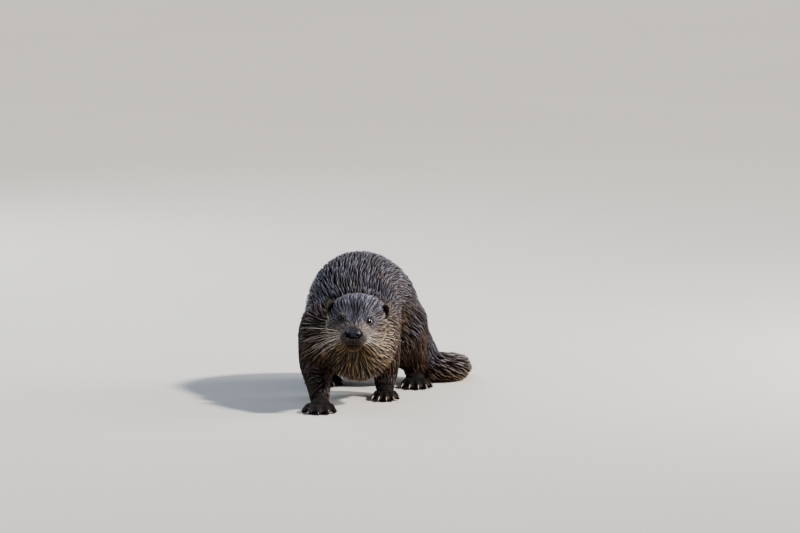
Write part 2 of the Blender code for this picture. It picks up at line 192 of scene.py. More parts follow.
@dataclass(frozen=True)
class Strand:
    """A line through the body that the coat follows, with the flesh's half width along it."""

    name: str
    points: np.ndarray
    radii: np.ndarray
    atlas: tuple[float, float, float, float]

    def follow(self, places: np.ndarray) -> Shares:
        """Finds each place's nearest point of the strand.

        Args:
            places: Points, one a row.

        Returns:
            For each place how near it is in half widths, its station along the strand, the
            strand's direction there and the way from the strand to the place.
        """
        tangents = unit(np.gradient(self.points, axis=0))
        best = np.full(len(places), np.inf)
        station = np.zeros(len(places))
        away = np.zeros_like(places)
        for index, (start, end) in enumerate(zip(self.points, self.points[1:])):
            span = end - start
            share = np.clip((places - start) @ span / (span @ span), 0.0, 1.0)
            offset = places - start - share[:, None] * span
            radius = self.radii[index] + share * (self.radii[index + 1] - self.radii[index])
            near = np.linalg.norm(offset, axis=1) / radius
            better = near < best
            best[better] = near[better]
            station[better] = index + share[better]
            away[better] = offset[better]
        low = np.minimum(station.astype(int), len(self.points) - 2)
        direction = unit(blend(tangents[low], tangents[low + 1], station - low))
        return {
            "near": best,
            "station": station / (len(self.points) - 1),
            "direction": direction,
            "away": away,
        }


@dataclass
class Pose:
    """Where the body's parts are, in the frame in which the animal was laid out."""

    nose_tip: Vector = field(default_factory=lambda: Vector((-0.0015, -0.117, 0.1315)))
    head_turn: Triple = (8.0, 4.0, -3.5)
    eye_place: Vector = field(default_factory=lambda: Vector((0.0212, 0.0365, 0.0120)))
    eye_radius: float = 0.0060
    eye_sink: float = 0.0010  # how far the eyeball sits behind its solid
    eye_aim: Vector = field(default_factory=lambda: Vector((0.57, -0.71, 0.41)).normalized())
    ear_place: Vector = field(default_factory=lambda: Vector((0.0470, 0.0880, 0.0170)))
    nose_place: Vector = field(default_factory=lambda: Vector((0.0, 0.0050, 0.0008)))
    nose_radii: Vector = field(default_factory=lambda: Vector((0.0125, 0.0078, 0.0074)))
    mouth_front: Vector = field(default_factory=lambda: Vector((0.0, 0.0105, -0.0180)))
    chin: Vector = field(default_factory=lambda: Vector((0.0, 0.022, -0.0240)))
    toe_fan: Row = (-46.0, -21.0, 2.0, 24.0, 48.0)
    toe_reach: Row = (0.0240, 0.0310, 0.0330, 0.0310, 0.0240)
    toe_radius: float = 0.0060
    toe_rise: float = 0.0055  # height of a toe's tip
    hind_toe_scale: float = 1.15
    claw_length: float = 0.0100
    claw_drop: float = 0.0040

    # The middle of each palm, its heading in degrees, its length and width and its toes' spread
    paws: dict[str, tuple[tuple[float, float], float, float, float, float]] = field(
        default_factory=lambda: {
            "forepaw_right": ((-0.0545, -0.062), -4.0, 0.036, 0.036, 0.75),
            "forepaw_left": ((0.0480, 0.069), 2.0, 0.036, 0.031, 0.55),
            "hindpaw_left": ((0.0965, 0.208), 4.0, 0.052, 0.034, 0.55),
            "hindpaw_right": ((-0.0460, 0.236), -8.0, 0.052, 0.036, 0.80),
        }
    )

    def __post_init__(self) -> None:
        """Works out the head's frame, the strands and the way to the model's frame."""
        turn = Euler([math.radians(angle) for angle in self.head_turn]).to_matrix()
        self.head_matrix = Matrix.Translation(self.nose_tip) @ turn.to_4x4()
        self.head_axes = np.array(turn)
        low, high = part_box("eye_left")
        self.shift = (low + high) / 2 - self.head_matrix @ self.eye_place
        self.offset = np.array(self.shift)
        self.strands = self._strands()

    def to_head(self, points: np.ndarray) -> np.ndarray:
        """The points in the head's own frame: nose tip at 0, +Y back, +Z up."""
        return (points - np.array(self.nose_tip)) @ self.head_axes

    def from_head(self, points: np.ndarray) -> np.ndarray:
        """Points of the head's own frame in the pose frame."""
        return points @ self.head_axes.T + np.array(self.nose_tip)

    def to_nose(self, local: np.ndarray) -> np.ndarray:
        """Points of the head's frame measured from the nose's middle, in its half sizes."""
        return (local - np.array(self.nose_place)) / np.array(self.nose_radii)

    def toe_scale(self, paw: str) -> float:
        """The size of a paw's toes against the forepaws'."""
        return self.hind_toe_scale if paw.startswith("hind") else 1.0

    def eyes(self) -> tuple[tuple[int, np.ndarray, np.ndarray], ...]:
        """The side, centre and outward direction of each eye, in the head's frame."""
        found = []
        for side in (-1, 1):
            mirror = np.array([side, 1.0, 1.0])
            aim = np.array(self.eye_aim) * mirror
            found.append((side, np.array(self.eye_place) * mirror - aim * self.eye_sink, aim))
        return tuple(found)

    def paw_matrix(self, paw: str) -> Matrix:
        """The frame of a paw, with -Y along its heading, in the pose frame."""
        (x, y), heading, *_ = self.paws[paw]
        return Matrix.Translation((x, y, 0.0)) @ Matrix.Rotation(math.radians(heading), 4, "Z")

    def toe(self, paw: str, index: int) -> tuple[Vector, Vector]:
        """The tip of a toe and the way that it points, in the paw's frame."""
        _, _, length, width, spread = self.paws[paw]
        share = (index - 2) / 2
        fan = math.radians(self.toe_fan[index] * spread)
        heading = Vector((math.sin(fan), -math.cos(fan), 0.0))
        root = Vector((share * (width / 2 - self.toe_radius), -(length / 2 - 0.009), 0.0))
        root.y += 0.006 * share * share
        tip = root + heading * (self.toe_reach[index] * self.toe_scale(paw))
        tip.z += self.toe_rise
        return tip, heading

    def near_toe_tips(self, places: np.ndarray, reach: float) -> np.ndarray:
        """From 1 at the toes' tips to 0 at some way off, for points of the pose frame."""
        found = np.zeros(len(places))
        for paw in PAW_NAMES:
            frame = self.paw_matrix(paw)
            for index in range(len(self.toe_fan)):
                tip, heading = self.toe(paw, index)
                away = np.linalg.norm(places - np.array(frame @ (tip - heading * 0.004)), axis=1)
                found = np.maximum(found, ramp(away, reach, 0.2 * reach))
        return found

    def _strands(self) -> tuple[Strand, ...]:
        """The spine, the head's axis and the four legs."""
        spine = (
            (0.0030, -0.026, 0.1280, 0.0520),
            (0.0060, -0.004, 0.1190, 0.0630),
            (0.0070, 0.020, 0.1150, 0.0680),
            (-0.0010, 0.055, 0.1180, 0.0740),
            (-0.0040, 0.095, 0.1300, 0.0770),
            (0.0010, 0.145, 0.1450, 0.0790),
            (0.0160, 0.195, 0.1390, 0.0780),
            (0.0370, 0.235, 0.1150, 0.0730),
            (0.0660, 0.258, 0.0820, 0.0550),
            (0.0930, 0.260, 0.0520, 0.0400),
            (0.1180, 0.252, 0.0300, 0.0295),
            (0.1410, 0.247, 0.0243, 0.0247),
            (0.1600, 0.256, 0.0228, 0.0235),
            (0.1660, 0.280, 0.0213, 0.0222),
            (0.1590, 0.314, 0.0196, 0.0207),
            (0.1420, 0.350, 0.0174, 0.0187),
            (0.1180, 0.388, 0.0148, 0.0161),
            (0.0900, 0.424, 0.0120, 0.0132),
            (0.0610, 0.458, 0.0092, 0.0100),
            (0.0330, 0.486, 0.0064, 0.0064),
        )
        legs = {
            "foreleg_right": (
                (-0.0520, 0.046, 0.1050, 0.0420),
                (-0.0620, 0.034, 0.0720, 0.0310),
                (-0.0590, 0.006, 0.0450, 0.0235),
                (-0.0560, -0.028, 0.0250, 0.0180),
                (-0.0550, -0.062, 0.0100, 0.0170),
                (-0.0560, -0.094, 0.0060, 0.0200),
            ),
            "foreleg_left": (
                (0.0360, 0.076, 0.1020, 0.0400),
                (0.0460, 0.101, 0.0720, 0.0300),
                (0.0490, 0.104, 0.0460, 0.0235),
                (0.0480, 0.096, 0.0260, 0.0185),
                (0.0480, 0.069, 0.0100, 0.0160),
                (0.0480, 0.036, 0.0060, 0.0170),
            ),
            "hindleg_left": (
                (0.0740, 0.228, 0.1000, 0.0400),
                (0.0860, 0.210, 0.0700, 0.0330),
                (0.0940, 0.230, 0.0420, 0.0230),
                (0.0960, 0.239, 0.0240, 0.0185),
                (0.0965, 0.208, 0.0100, 0.0170),
                (0.0970, 0.160, 0.0060, 0.0180),
            ),
            "hindleg_right": (
                (-0.0120, 0.258, 0.1000, 0.0400),
                (-0.0340, 0.236, 0.0700, 0.0310),
                (-0.0430, 0.256, 0.0420, 0.0230),
                (-0.0440, 0.266, 0.0240, 0.0185),
                (-0.0460, 0.236, 0.0100, 0.0180),
                (-0.0490, 0.188, 0.0060, 0.0200),
            ),
        }
        axis = self.from_head(np.array([[0, 0.004, -0.004], [0, 0.05, -0.006], [0, 0.11, -0.008]]))
        head_radii = np.array([0.014, 0.036, 0.050])
        rows = np.array(spine)
        made = [
            Strand("spine", rows[:, :3], rows[:, 3], (0.01, 0.01, 0.99, 0.48)),
            Strand("head", axis, head_radii, (0.01, 0.52, 0.39, 0.99)),
        ]
        for place, (name, joints) in enumerate(legs.items()):
            rows = np.array(joints)
            left = 0.42 + 0.145 * place
            made.append(Strand(name, rows[:, :3], rows[:, 3], (left, 0.52, left + 0.125, 0.99)))
        return tuple(made)


# ---------------------------------------------------------------- the coat's lie


class Region(Enum):
    """The parts of the coat, each made as pieces of its own."""

    TRUNK = "back"
    NECK = "neck"
    HEAD = "head"
    TAIL = "tail"
    LEG = "legs"
    PAW = "paws"


@dataclass(frozen=True)
class Growth:
    """How the coat grows in one part of the body."""

    depth: float  # how far the tips stand above the skin
    overhang: float  # how far a lock reaches past its own hairs' roots
    along: float  # length of the ground that a lock grows from
    across: float  # width of that ground
    width: float  # width of one tuft
    spacing: float  # distance between the roots of two tufts

    def values(self) -> np.ndarray:
        """All the sizes as one row."""
        return np.array([*vars(self).values()])


@dataclass
class Lie:
    """What the coat does at each of many places on the body."""

    region: np.ndarray
    flow: np.ndarray
    growth: np.ndarray  # one row of Growth's values for each place
    root_tone: np.ndarray
    tip_tone: np.ndarray
    map_place: np.ndarray

    def rows(self, chosen: np.ndarray) -> Lie:
        """The coat's lie at some of its places."""
        return Lie(**{key: value[chosen] for key, value in vars(self).items()})


@dataclass
class Grooming:
    """The lengths, the lie and the colours of the coat, worked out from the body's shape."""

    pose: Pose
    back: Growth = Growth(0.0058, 0.0100, 0.0125, 0.0033, 0.00108, 0.00165)
    neck: Growth = Growth(0.0052, 0.0100, 0.0125, 0.0028, 0.00098, 0.00150)
    crown: Growth = Growth(0.0034, 0.0085, 0.0150, 0.0034, 0.00072, 0.00108)
    muzzle: Growth = Growth(0.0010, 0.0027, 0.0040, 0.0014, 0.00050, 0.00078)
    tail_root: Growth = Growth(0.0052, 0.0090, 0.0105, 0.0043, 0.00130, 0.00175)
    tail_tip: Growth = Growth(0.0026, 0.0065, 0.0080, 0.0030, 0.00105, 0.00150)
    thigh: Growth = Growth(0.0052, 0.0078, 0.0095, 0.0040, 0.00120, 0.00165)
    shank: Growth = Growth(0.0032, 0.0066, 0.0090, 0.0028, 0.00096, 0.00145)
    paw: Growth = Growth(0.0008, 0.0030, 0.0040, 0.0015, 0.00060, 0.00106)
    toes: Growth = Growth(0.00040, 0.0022, 0.0028, 0.0011, 0.00044, 0.00104)

    # The roots' near black is partly the fur's own dark base and partly painted shade in the
    # partings between locks
    umber: Row = (0.020, 0.012, 0.007)
    brown: Row = (0.275, 0.165, 0.090)
    # Painted sky reflection: the bluish grey sheen of wet tips, laid on fur that faces up, on the
    # crown and on the bridge
    sheen_steel: Row = (0.265, 0.290, 0.400)
    buff: Row = (0.900, 0.700, 0.500)
    ochre: Row = (0.520, 0.342, 0.080)
    rust: Row = (0.330, 0.160, 0.100)
    soot: Row = (0.012, 0.010, 0.010)
    rose: Row = (0.640, 0.545, 0.475)
    russet: Row = (0.215, 0.082, 0.030)

    def lie(self, places: np.ndarray, normals: np.ndarray) -> Lie:
        """Reads the coat at places on the body.

        Args:
            places: Points in the pose frame, one a row.
            normals: The body's outward direction at each.

        Returns:
            The coat's region, direction, sizes and colours at each place.
        """
        found = [strand.follow(places) for strand in self.pose.strands]
        near = np.array([each["near"] for each in found])
        closeness = np.exp(-9.0 * (near - near.min(0)))
        closeness /= closeness.sum(0)
        local = self.pose.to_head(places)
        parts = self._parts(found, closeness, local)
        flow = sum(w[:, None] * each["direction"] for w, each in zip(closeness, found))
        flow = self._comb(places, normals, flow, local, parts)
        root_tone, tip_tone = self._tones(places, normals, local, parts)
        return Lie(
            region=self._regions(parts),
            flow=tangential(flow, normals),
            growth=self._growth(local, parts),
            root_tone=root_tone,
            tip_tone=tip_tone,
            map_place=self._map_places(found, near),
        )

    def _parts(self, found: list[Shares], closeness: np.ndarray, local: np.ndarray) -> Shares:
        """How much each place belongs to each part of the body, from 0 to 1."""
        from_nose = np.linalg.norm(local * np.array([1.0, 1.0, 1.15]), axis=1)
        leg = closeness[2:].sum(0)
        legs = np.array([each["near"] for each in found[2:]])
        stations = np.array([each["station"] for each in found[2:]])
        station = np.take_along_axis(stations, legs.argmin(0)[None], 0)[0]
        behind = ramp(found[0]["station"], 0.16, 0.05)
        return {
            "neck": np.maximum(1.0 - ramp(from_nose, 0.15, 0.21), behind) * (1.0 - leg),
            "crown": 1.0 - ramp(from_nose, 0.100, 0.145),
            "muzzle": 1.0 - ramp(from_nose, 0.018, 0.046),
            "tail_root": ramp(found[0]["station"], 0.50, 0.58) * (1.0 - leg),
            "tail_tip": ramp(found[0]["station"], 0.62, 1.0),
            "thigh": leg,
            "shank": leg * ramp(station, 0.18, 0.58),
            "paw": leg * ramp(station, 0.62, 0.74),
            "toes": leg * ramp(station, 0.82, 0.95),
        }

    def _regions(self, parts: Shares) -> np.ndarray:
        """The index in Region of each place's part of the coat."""
        order = list(Region)
        region = np.full(len(parts["neck"]), order.index(Region.TRUNK))
        for part, place in (
            (Region.NECK, "neck"),
            (Region.TAIL, "tail_root"),
            (Region.LEG, "thigh"),
            (Region.PAW, "paw"),
            (Region.HEAD, "crown"),
        ):
            region[parts[place] > 0.5] = order.index(part)
        return region

    def _growth(self, local: np.ndarray, parts: Shares) -> np.ndarray:
        """The coat's sizes at each place, passing softly from part to part."""
        sizes = np.tile(self.back.values(), (len(local), 1))
        for name, share in parts.items():
            sizes = blend(sizes, getattr(self, name).values()[None], share)
        for _, centre, _ in self.pose.eyes():
            away = np.linalg.norm(local - centre, axis=1)
            short = ramp(away, 0.020, 0.008)
            sizes[:, :3] *= 1.0 - np.array([0.70, 0.76, 0.78]) * short[:, None]
            sizes[:, 3:] *= 1.0 - np.array([0.50, 0.22, 0.46]) * short[:, None]
        return sizes

    def _comb(
        self,
        places: np.ndarray,
        normals: np.ndarray,
        flow: np.ndarray,
        local: np.ndarray,
        parts: Shares,
    ) -> np.ndarray:
        """The lie of the fur: fanned on the face, hanging on the flanks, parted at the eyes."""
        pose = self.pose
        nose = pose.from_head(np.array([[0.0, 0.008, -0.003]]))[0]
        lip = pose.from_head(np.array([[0.0, 0.012, -0.012]]))[0]
        fan = unit(places - nose)
        throat = unit(places - lip)
        fan = unit(blend(fan, throat, ramp(local[:, 2], -0.012, -0.024)))
        from_nose = np.linalg.norm(local, axis=1)
        facing = ramp(-normals[:, 1], 0.0, 0.7)
        on_face = 1.0 - ramp(from_nose, 0.085, 0.135)
        on_chest = facing * (1.0 - ramp(from_nose, 0.13, 0.20)) * ramp(local[:, 2], 0.0, -0.04)
        flow = blend(flow, fan, np.maximum(on_face, on_chest))
        sideways = 1.0 - np.abs(normals[:, 2])
        hang = 0.42 * sideways * (1.0 - on_face) * (1.0 - 0.6 * parts["thigh"])
        flow = flow + hang[:, None] * np.array([0.0, 0.0, -1.0])
        for _, centre, _ in pose.eyes():
            away = pose.from_head(local) - pose.from_head(centre[None])
            push = ramp(np.linalg.norm(away, axis=1), 0.020, 0.009)
            flow = flow + unit(away) * (0.9 * push)[:, None]
        sway = patches(places, 0.030, 5) - 0.5 + 0.7 * (patches(places, 0.011, 6) - 0.5)
        across = np.cross(normals, unit(flow))
        return flow + across * (0.42 * sway * (1.0 - 0.6 * parts["muzzle"]))[:, None]

    def _tones(
        self,
        places: np.ndarray,
        normals: np.ndarray,
        local: np.ndarray,
        parts: Shares,
    ) -> tuple[np.ndarray, np.ndarray]:
        """The markings, with painted sky sheen, highlights and shade: the colour at the root of
        the fur and at its tips.
        """
        upward = normals[:, 2]
        broad = patches(places, 0.045, 11)
        fine = patches(places, 0.012, 12)
        from_nose = np.linalg.norm(local, axis=1)
        from_chin = np.linalg.norm(local - np.array(self.pose.chin), axis=1)
        x, y, z = local.T
        tip = np.tile(np.array(self.brown), (len(places), 1))
        root = np.tile(np.array(self.umber), (len(places), 1))

        def dye(tones: np.ndarray, tone: Row, share: np.ndarray) -> np.ndarray:
            """The tones with a share of another."""
            return blend(tones, np.array(tone)[None], np.clip(share, 0.0, 1.0))

        # Painted sky sheen: tips turn bluish grey the more the fur faces up, less on the cape,
        # tail, thighs and brows
        upward_sheen = ramp(upward, -0.60, 0.50) * (0.62 + 0.38 * broad)
        cape = parts["neck"] * (1.0 - parts["crown"]) * ramp(upward, 0.85, 0.35)
        upward_sheen = upward_sheen * (1.0 - 0.65 * cape)
        upward_sheen = upward_sheen * (1.0 - 0.40 * parts["tail_root"]) * (1.0 - 0.5 * parts["thigh"])
        brow = ramp(np.abs(x), 0.010, 0.022) * ramp(from_nose, 0.085, 0.060)
        upward_sheen = upward_sheen * (1.0 - 0.50 * brow)
        tip = dye(tip, self.sheen_steel, upward_sheen) * (1.0 - 0.32 * brow)[:, None]
        around_head = 1.0 - ramp(from_nose, 0.095, 0.150)
        sideways = np.maximum(np.abs(x) - 0.024, 0.0)
        below = ramp(z - 0.12 * (y - 0.04) - 0.90 * sideways, 0.010, -0.016)
        cheek = below * around_head * ramp(from_nose, 0.018, 0.045)
        tip = dye(tip, self.buff, 0.63 * cheek * (0.7 + 0.3 * fine))
        # Painted sheen on the crown: bluish grey tips and roots, and tips brightened as a painted
        # highlight towards the back and middle of the head
        crown = parts["crown"] * (1.0 - below)
        tip = dye(tip, self.sheen_steel, 0.52 * crown)
        aside = 1.0 - 0.5 * ramp(np.abs(x), 0.018, 0.034)
        high = 0.58 * ramp(y, 0.040, 0.075) * aside
        tip = tip * (1.0 + crown * (high - 0.01))[:, None]
        root = dye(root, self.sheen_steel, 0.10 * crown)
        throat = (1.0 - ramp(from_chin, 0.020, 0.080)) * ramp(z, -0.019, -0.030)
        tip = dye(tip, self.ochre, 0.90 * throat)
        nape = bell(y - 0.120, 0.013) * ramp(upward, 0.2, 0.8)
        tip = dye(tip, self.rust, 0.40 * nape * (0.5 + 0.5 * fine))
        bridge = bell(x, 0.010) * ramp(y, 0.075, 0.045)
        bridge = bridge * ramp(y, 0.020, 0.034)
        # The bridge's tips take the painted sky sheen, and are darkened
        tip = dye(tip, self.sheen_steel, 0.60 * bridge) * (1.0 - 0.72 * bridge)[:, None]
        above_nose = np.exp(-((x / 0.011) ** 2) - ((y - 0.016) / 0.006) ** 2)
        tip = dye(tip, self.rose, 0.58 * above_nose * ramp(z, 0.002, 0.008))
        chin = bell(x, 0.012) * ramp(y, 0.040, 0.026)
        tip = dye(tip, self.ochre, 0.95 * chin * ramp(z, -0.019, -0.024))
        pads = np.abs(x) - 0.0180
        pads = np.exp(-((pads / 0.0115) ** 2) - ((y - 0.018) / 0.016) ** 2)
        pads = pads * ramp(z, -0.019, -0.014) * ramp(z, 0.016, 0.008)
        tip = dye(tip, self.rose, 0.85 * pads)
        lips = bell(z + 0.0165, 0.0066) * ramp(y, 0.032, 0.018)
        lips = lips * ramp(np.abs(x), 0.017, 0.009)
        tip = dye(tip, self.russet, 0.92 * lips)
        root = dye(root, self.soot, 0.3 * fine)
        root = dye(root, self.rose, 0.26 * pads)
        root = dye(root, self.ochre, 0.07 * throat)
        dark = np.maximum(0.10 * parts["thigh"] + 0.18 * parts["shank"], 0.88 * parts["paw"])
        # Paws and legs darken; the shanks' tips are brightened as painted wet highlights
        tip = dye(tip, self.soot, dark) * (1.0 + 0.25 * parts["shank"])[:, None]
        root = dye(root, self.soot, dark)
        return root, tip

    def _map_places(self, found: list[Shares], near: np.ndarray) -> np.ndarray:
        """Where each place lies on the unwrapped skin: along and round its nearest strand."""
        nearest = near.argmin(0)
        mapped = np.zeros((near.shape[1], 2))
        for index, (strand, each) in enumerate(zip(self.pose.strands, found)):
            chosen = nearest == index
            direction = each["direction"][chosen]
            side = unit(np.cross(direction, np.array([0.05, 0.02, 1.0])))
            over = np.cross(side, direction)
            away = each["away"][chosen]
            turn = np.arctan2(dot(away, side), dot(away, over)) / (2.0 * math.pi) + 0.5
            left, low, right, high = strand.atlas
            mapped[chosen, 0] = left + (right - left) * each["station"][chosen]
            mapped[chosen, 1] = low + (high - low) * turn
        return mapped


# ---------------------------------------------------------------- materials


class Value:
    """A number in a material, whose arithmetic adds Math nodes."""

    def __init__(self, recipe: Recipe, socket: bpy.types.NodeSocket) -> None:
        """Wraps a socket of a recipe's tree."""
        self.recipe = recipe
        self.socket = socket

    def _joined(self, operation: str, first: object, second: object) -> Value:
        """A Math node over two values or numbers."""
        inputs = {0: first, 1: second}
        made = self.recipe.node("ShaderNodeMath", {"operation": operation}, inputs)
        return Value(self.recipe, made.outputs[0])

    def __add__(self, other: object) -> Value:
        """The sum."""
        return self._joined("ADD", self, other)

    def __radd__(self, other: object) -> Value:
        """The sum, from the right."""
        return self._joined("ADD", other, self)

    def __sub__(self, other: object) -> Value:
        """The difference."""
        return self._joined("SUBTRACT", self, other)

    def __rsub__(self, other: object) -> Value:
        """The difference, from the right."""
        return self._joined("SUBTRACT", other, self)

    def __mul__(self, other: object) -> Value:
        """The product."""
        return self._joined("MULTIPLY", self, other)

    def __rmul__(self, other: object) -> Value:
        """The product, from the right."""
        return self._joined("MULTIPLY", other, self)


class Recipe:
    """One material, built node by node."""

    def __init__(self, name: str) -> None:
        """Starts a material with a Principled shader."""
        self.material = bpy.data.materials.new(name)
        self.material.use_nodes = True
        self.tree = self.material.node_tree
        self.shader = self.tree.nodes["Principled BSDF"]

    def node(
        self,
        kind: str,
        settings: dict[str, object] | None = None,
        inputs: dict[object, object] | None = None,
    ) -> bpy.types.Node:
        """Adds a node.

        Args:
            kind: The node's type.
            settings: Its own settings, set before its sockets; "stops" fills a ramp.
            inputs: A value, socket or Value for each named or numbered input.

        Returns:
            The node.
        """
        made = self.tree.nodes.new(kind)
        for key, setting in (settings or {}).items():
            if key == "stops":
                elements = made.color_ramp.elements
                while len(elements) < len(setting):
                    elements.new(0.5)
                for element, (place, colour) in zip(elements, setting):
                    element.position = place
                    element.color = (*colour, 1.0)
            else:
                setattr(made, key, setting)
        for key, given in (inputs or {}).items():
            self.feed(made.inputs[key], given)
        return made

    def feed(self, socket: bpy.types.NodeSocket, given: object) -> None:
        """Links a socket or Value to an input, or sets its constant."""
        if isinstance(given, Value):
            given = given.socket
        if isinstance(given, bpy.types.NodeSocket):
            self.tree.links.new(given, socket)
        else:
            socket.default_value = given

    def shade(self, **values: object) -> None:
        """Feeds the shader's own inputs, with _ for a space in their names."""
        for key, given in values.items():
            self.feed(self.shader.inputs[key.replace("_", " ")], given)

    def place(self) -> bpy.types.NodeSocket:
        """Object coordinates."""
        return self.node("ShaderNodeTexCoord").outputs["Object"]

    def noise(self, scale: float, detail: float = 3.0) -> Value:
        """Noise on object coordinates, at so many waves a metre."""
        inputs = {"Vector": self.place(), "Scale": scale, "Detail": detail}
        return Value(self, self.node("ShaderNodeTexNoise", None, inputs).outputs["Fac"])

    def attribute(self, name: str) -> bpy.types.Node:
        """An attribute of the mesh."""
        return self.node("ShaderNodeAttribute", {"attribute_name": name})

    def tinted(self, colour: object, other: object, share: object) -> bpy.types.NodeSocket:
        """A mix of two colours."""
        # A Mix node has one pair of sockets for each data type; the colours are 6 and 7
        inputs = {"Factor": share, 6: colour, 7: other}
        return self.node("ShaderNodeMix", {"data_type": "RGBA"}, inputs).outputs[2]

    def relief(self, height: Value, distance: float, strength: float = 1.0) -> None:
        """Gives the shader a bump of a height."""
        inputs = {"Height": height, "Distance": distance, "Strength": strength}
        self.shade(Normal=self.node("ShaderNodeBump", None, inputs).outputs["Normal"])


@dataclass(frozen=True)
class CoatFinish:
    """Guard hair: dark at the root, lighter and shining at the tip, slightly damp. Its tones hold
    painted shade, sky sheen and glints.
    """

    name: str = "guard_hair"
    roughness: float = 0.46

    def material(self) -> bpy.types.Material:
        """The coat's material."""
        recipe = Recipe(self.name)
        tone = recipe.attribute("tone").outputs["Color"]
        streak = recipe.noise(900.0, 2.0)
        colour = recipe.tinted(tone, (0.16, 0.14, 0.13, 1.0), 0.10 * streak)
        roughness = self.roughness + 0.16 * streak - 0.08
        recipe.shade(Base_Color=colour, Roughness=roughness, Specular_IOR_Level=0.32)
        return recipe.material


@dataclass(frozen=True)
class SkinFinish:
    """Skin and underfur below the guard hair, in the coat's own markings and its roots' painted
    shade.
    """

    name: str = "underfur"

    def material(self) -> bpy.types.Material:
        """The skin's material."""
        recipe = Recipe(self.name)
        tone = recipe.attribute("tone").outputs["Color"]
        grain = recipe.noise(620.0, 4.0)
        broad = recipe.noise(60.0, 2.0)
        colour = recipe.tinted(tone, (0.016, 0.012, 0.010, 1.0), 0.45 * grain + 0.1 * broad)
        bare = Value(recipe, recipe.attribute("bare").outputs["Fac"])
        roughness = 0.74 - 0.16 * bare + 0.1 * grain
        recipe.shade(Base_Color=colour, Roughness=roughness, Specular_IOR_Level=0.26)
        recipe.relief(grain, 0.0006, 0.8)
        return recipe.material


@dataclass(frozen=True)
class NoseFinish:
    """Bare, moist and pebbled skin of the nose, with painted shade in the nostrils and the middle
    groove.
    """

    name: str = "nose_skin"

    def material(self) -> bpy.types.Material:
        """The nose's material."""
        recipe = Recipe(self.name)
        pebbles = recipe.node(
            "ShaderNodeTexVoronoi", {"feature": "F1"}, {"Vector": recipe.place(), "Scale": 1500.0}
        )
        height = Value(recipe, pebbles.outputs["Distance"])
        cloud = recipe.noise(260.0)
        hollow = Value(recipe, recipe.attribute("hollow").outputs["Fac"])
        shade = recipe.tinted((0.018, 0.021, 0.033, 1.0), (0.007, 0.008, 0.012, 1.0), cloud)
        # The nostrils and the middle groove are painted near black: painted shade in the openings
        colour = recipe.tinted(shade, (0.002, 0.002, 0.002, 1.0), hollow)
        roughness = 0.30 + 0.22 * cloud + 0.3 * hollow
        recipe.shade(Base_Color=colour, Roughness=roughness, Specular_IOR_Level=0.5)
        recipe.relief(1.0 - height, 0.00025, 0.7)
        return recipe.material


@dataclass(frozen=True)
class EyeFinish:
    """A dark brown eye, wet and glossy, with a round black pupil."""

    name: str = "wet_eye"

    def material(self) -> bpy.types.Material:
        """The eye's material."""
        recipe = Recipe(self.name)
        angle = recipe.attribute("from_pupil").outputs["Fac"]
        fibres = recipe.noise(1800.0, 4.0)
        bands = recipe.node(
            "ShaderNodeValToRGB",
            {
                "stops": (
                    (0.0, (0.001, 0.001, 0.001)),
                    (0.24, (0.002, 0.0015, 0.001)),
                    (0.32, (0.014, 0.007, 0.004)),
                    (0.52, (0.009, 0.005, 0.003)),
                    (0.62, (0.003, 0.002, 0.002)),
                )
            },
            {"Fac": angle},
        )
        colour = recipe.tinted(bands.outputs["Color"], (0.010, 0.005, 0.003, 1.0), 0.5 * fibres)
        recipe.shade(Base_Color=colour, Roughness=0.04, Specular_IOR_Level=0.50, Coat_Weight=0.3)
        return recipe.material


@dataclass(frozen=True)
class ClawFinish:
    """Pale horn, darker and warmer at the root, with fine lengthwise grain."""

    name: str = "horn"

    def material(self) -> bpy.types.Material:
        """The claws' material."""
        recipe = Recipe(self.name)
        along = Value(recipe, recipe.attribute("along").outputs["Fac"])
        grain = recipe.noise(1400.0, 3.0)
        colour = recipe.tinted((0.16, 0.11, 0.08, 1.0), (0.62, 0.54, 0.45, 1.0), along)
        colour = recipe.tinted(colour, (0.30, 0.22, 0.16, 1.0), 0.5 * grain)
        recipe.shade(Base_Color=colour, Roughness=0.30 + 0.2 * grain)
        recipe.relief(grain, 0.0001, 0.6)
        return recipe.material


@dataclass(frozen=True)
class WhiskerFinish:
    """Stiff, pale and half clear bristle."""

    name: str = "bristle"

    def material(self) -> bpy.types.Material:
        """The whiskers' material."""
        recipe = Recipe(self.name)
        grain = recipe.noise(500.0, 2.0)
        colour = recipe.tinted((0.90, 0.88, 0.84, 1.0), (0.62, 0.56, 0.49, 1.0), grain)
        recipe.shade(Base_Color=colour, Roughness=0.35, Specular_IOR_Level=0.6)
        return recipe.material


@dataclass(frozen=True)
class FloorFinish:
    """A pale, even studio floor."""

    name: str = "studio_floor"

    def material(self) -> bpy.types.Material:
        """The floor's material."""
        recipe = Recipe(self.name)
        cloud = recipe.noise(1.5, 2.0)
        colour = recipe.tinted((0.62, 0.61, 0.59, 1.0), (0.67, 0.66, 0.64, 1.0), cloud)
        recipe.shade(Base_Color=colour, Roughness=0.8)
        return recipe.material


# ---------------------------------------------------------------- mesh work


def fast_mesh(name: str, places: np.ndarray, triangles: np.ndarray) -> bpy.types.Mesh:
    """A mesh from arrays of places and of triangles."""
    mesh = bpy.data.meshes.new(name)
    mesh.vertices.add(len(places))
    mesh.vertices.foreach_set("co", places.astype(np.float32).ravel())
    mesh.loops.add(triangles.size)
    mesh.loops.foreach_set("vertex_index", triangles.astype(np.int32).ravel())
    mesh.polygons.add(len(triangles))
    mesh.polygons.foreach_set("loop_start", np.arange(0, triangles.size, 3, dtype=np.int32))
    mesh.update(calc_edges=True)
    mesh.validate()
    return mesh


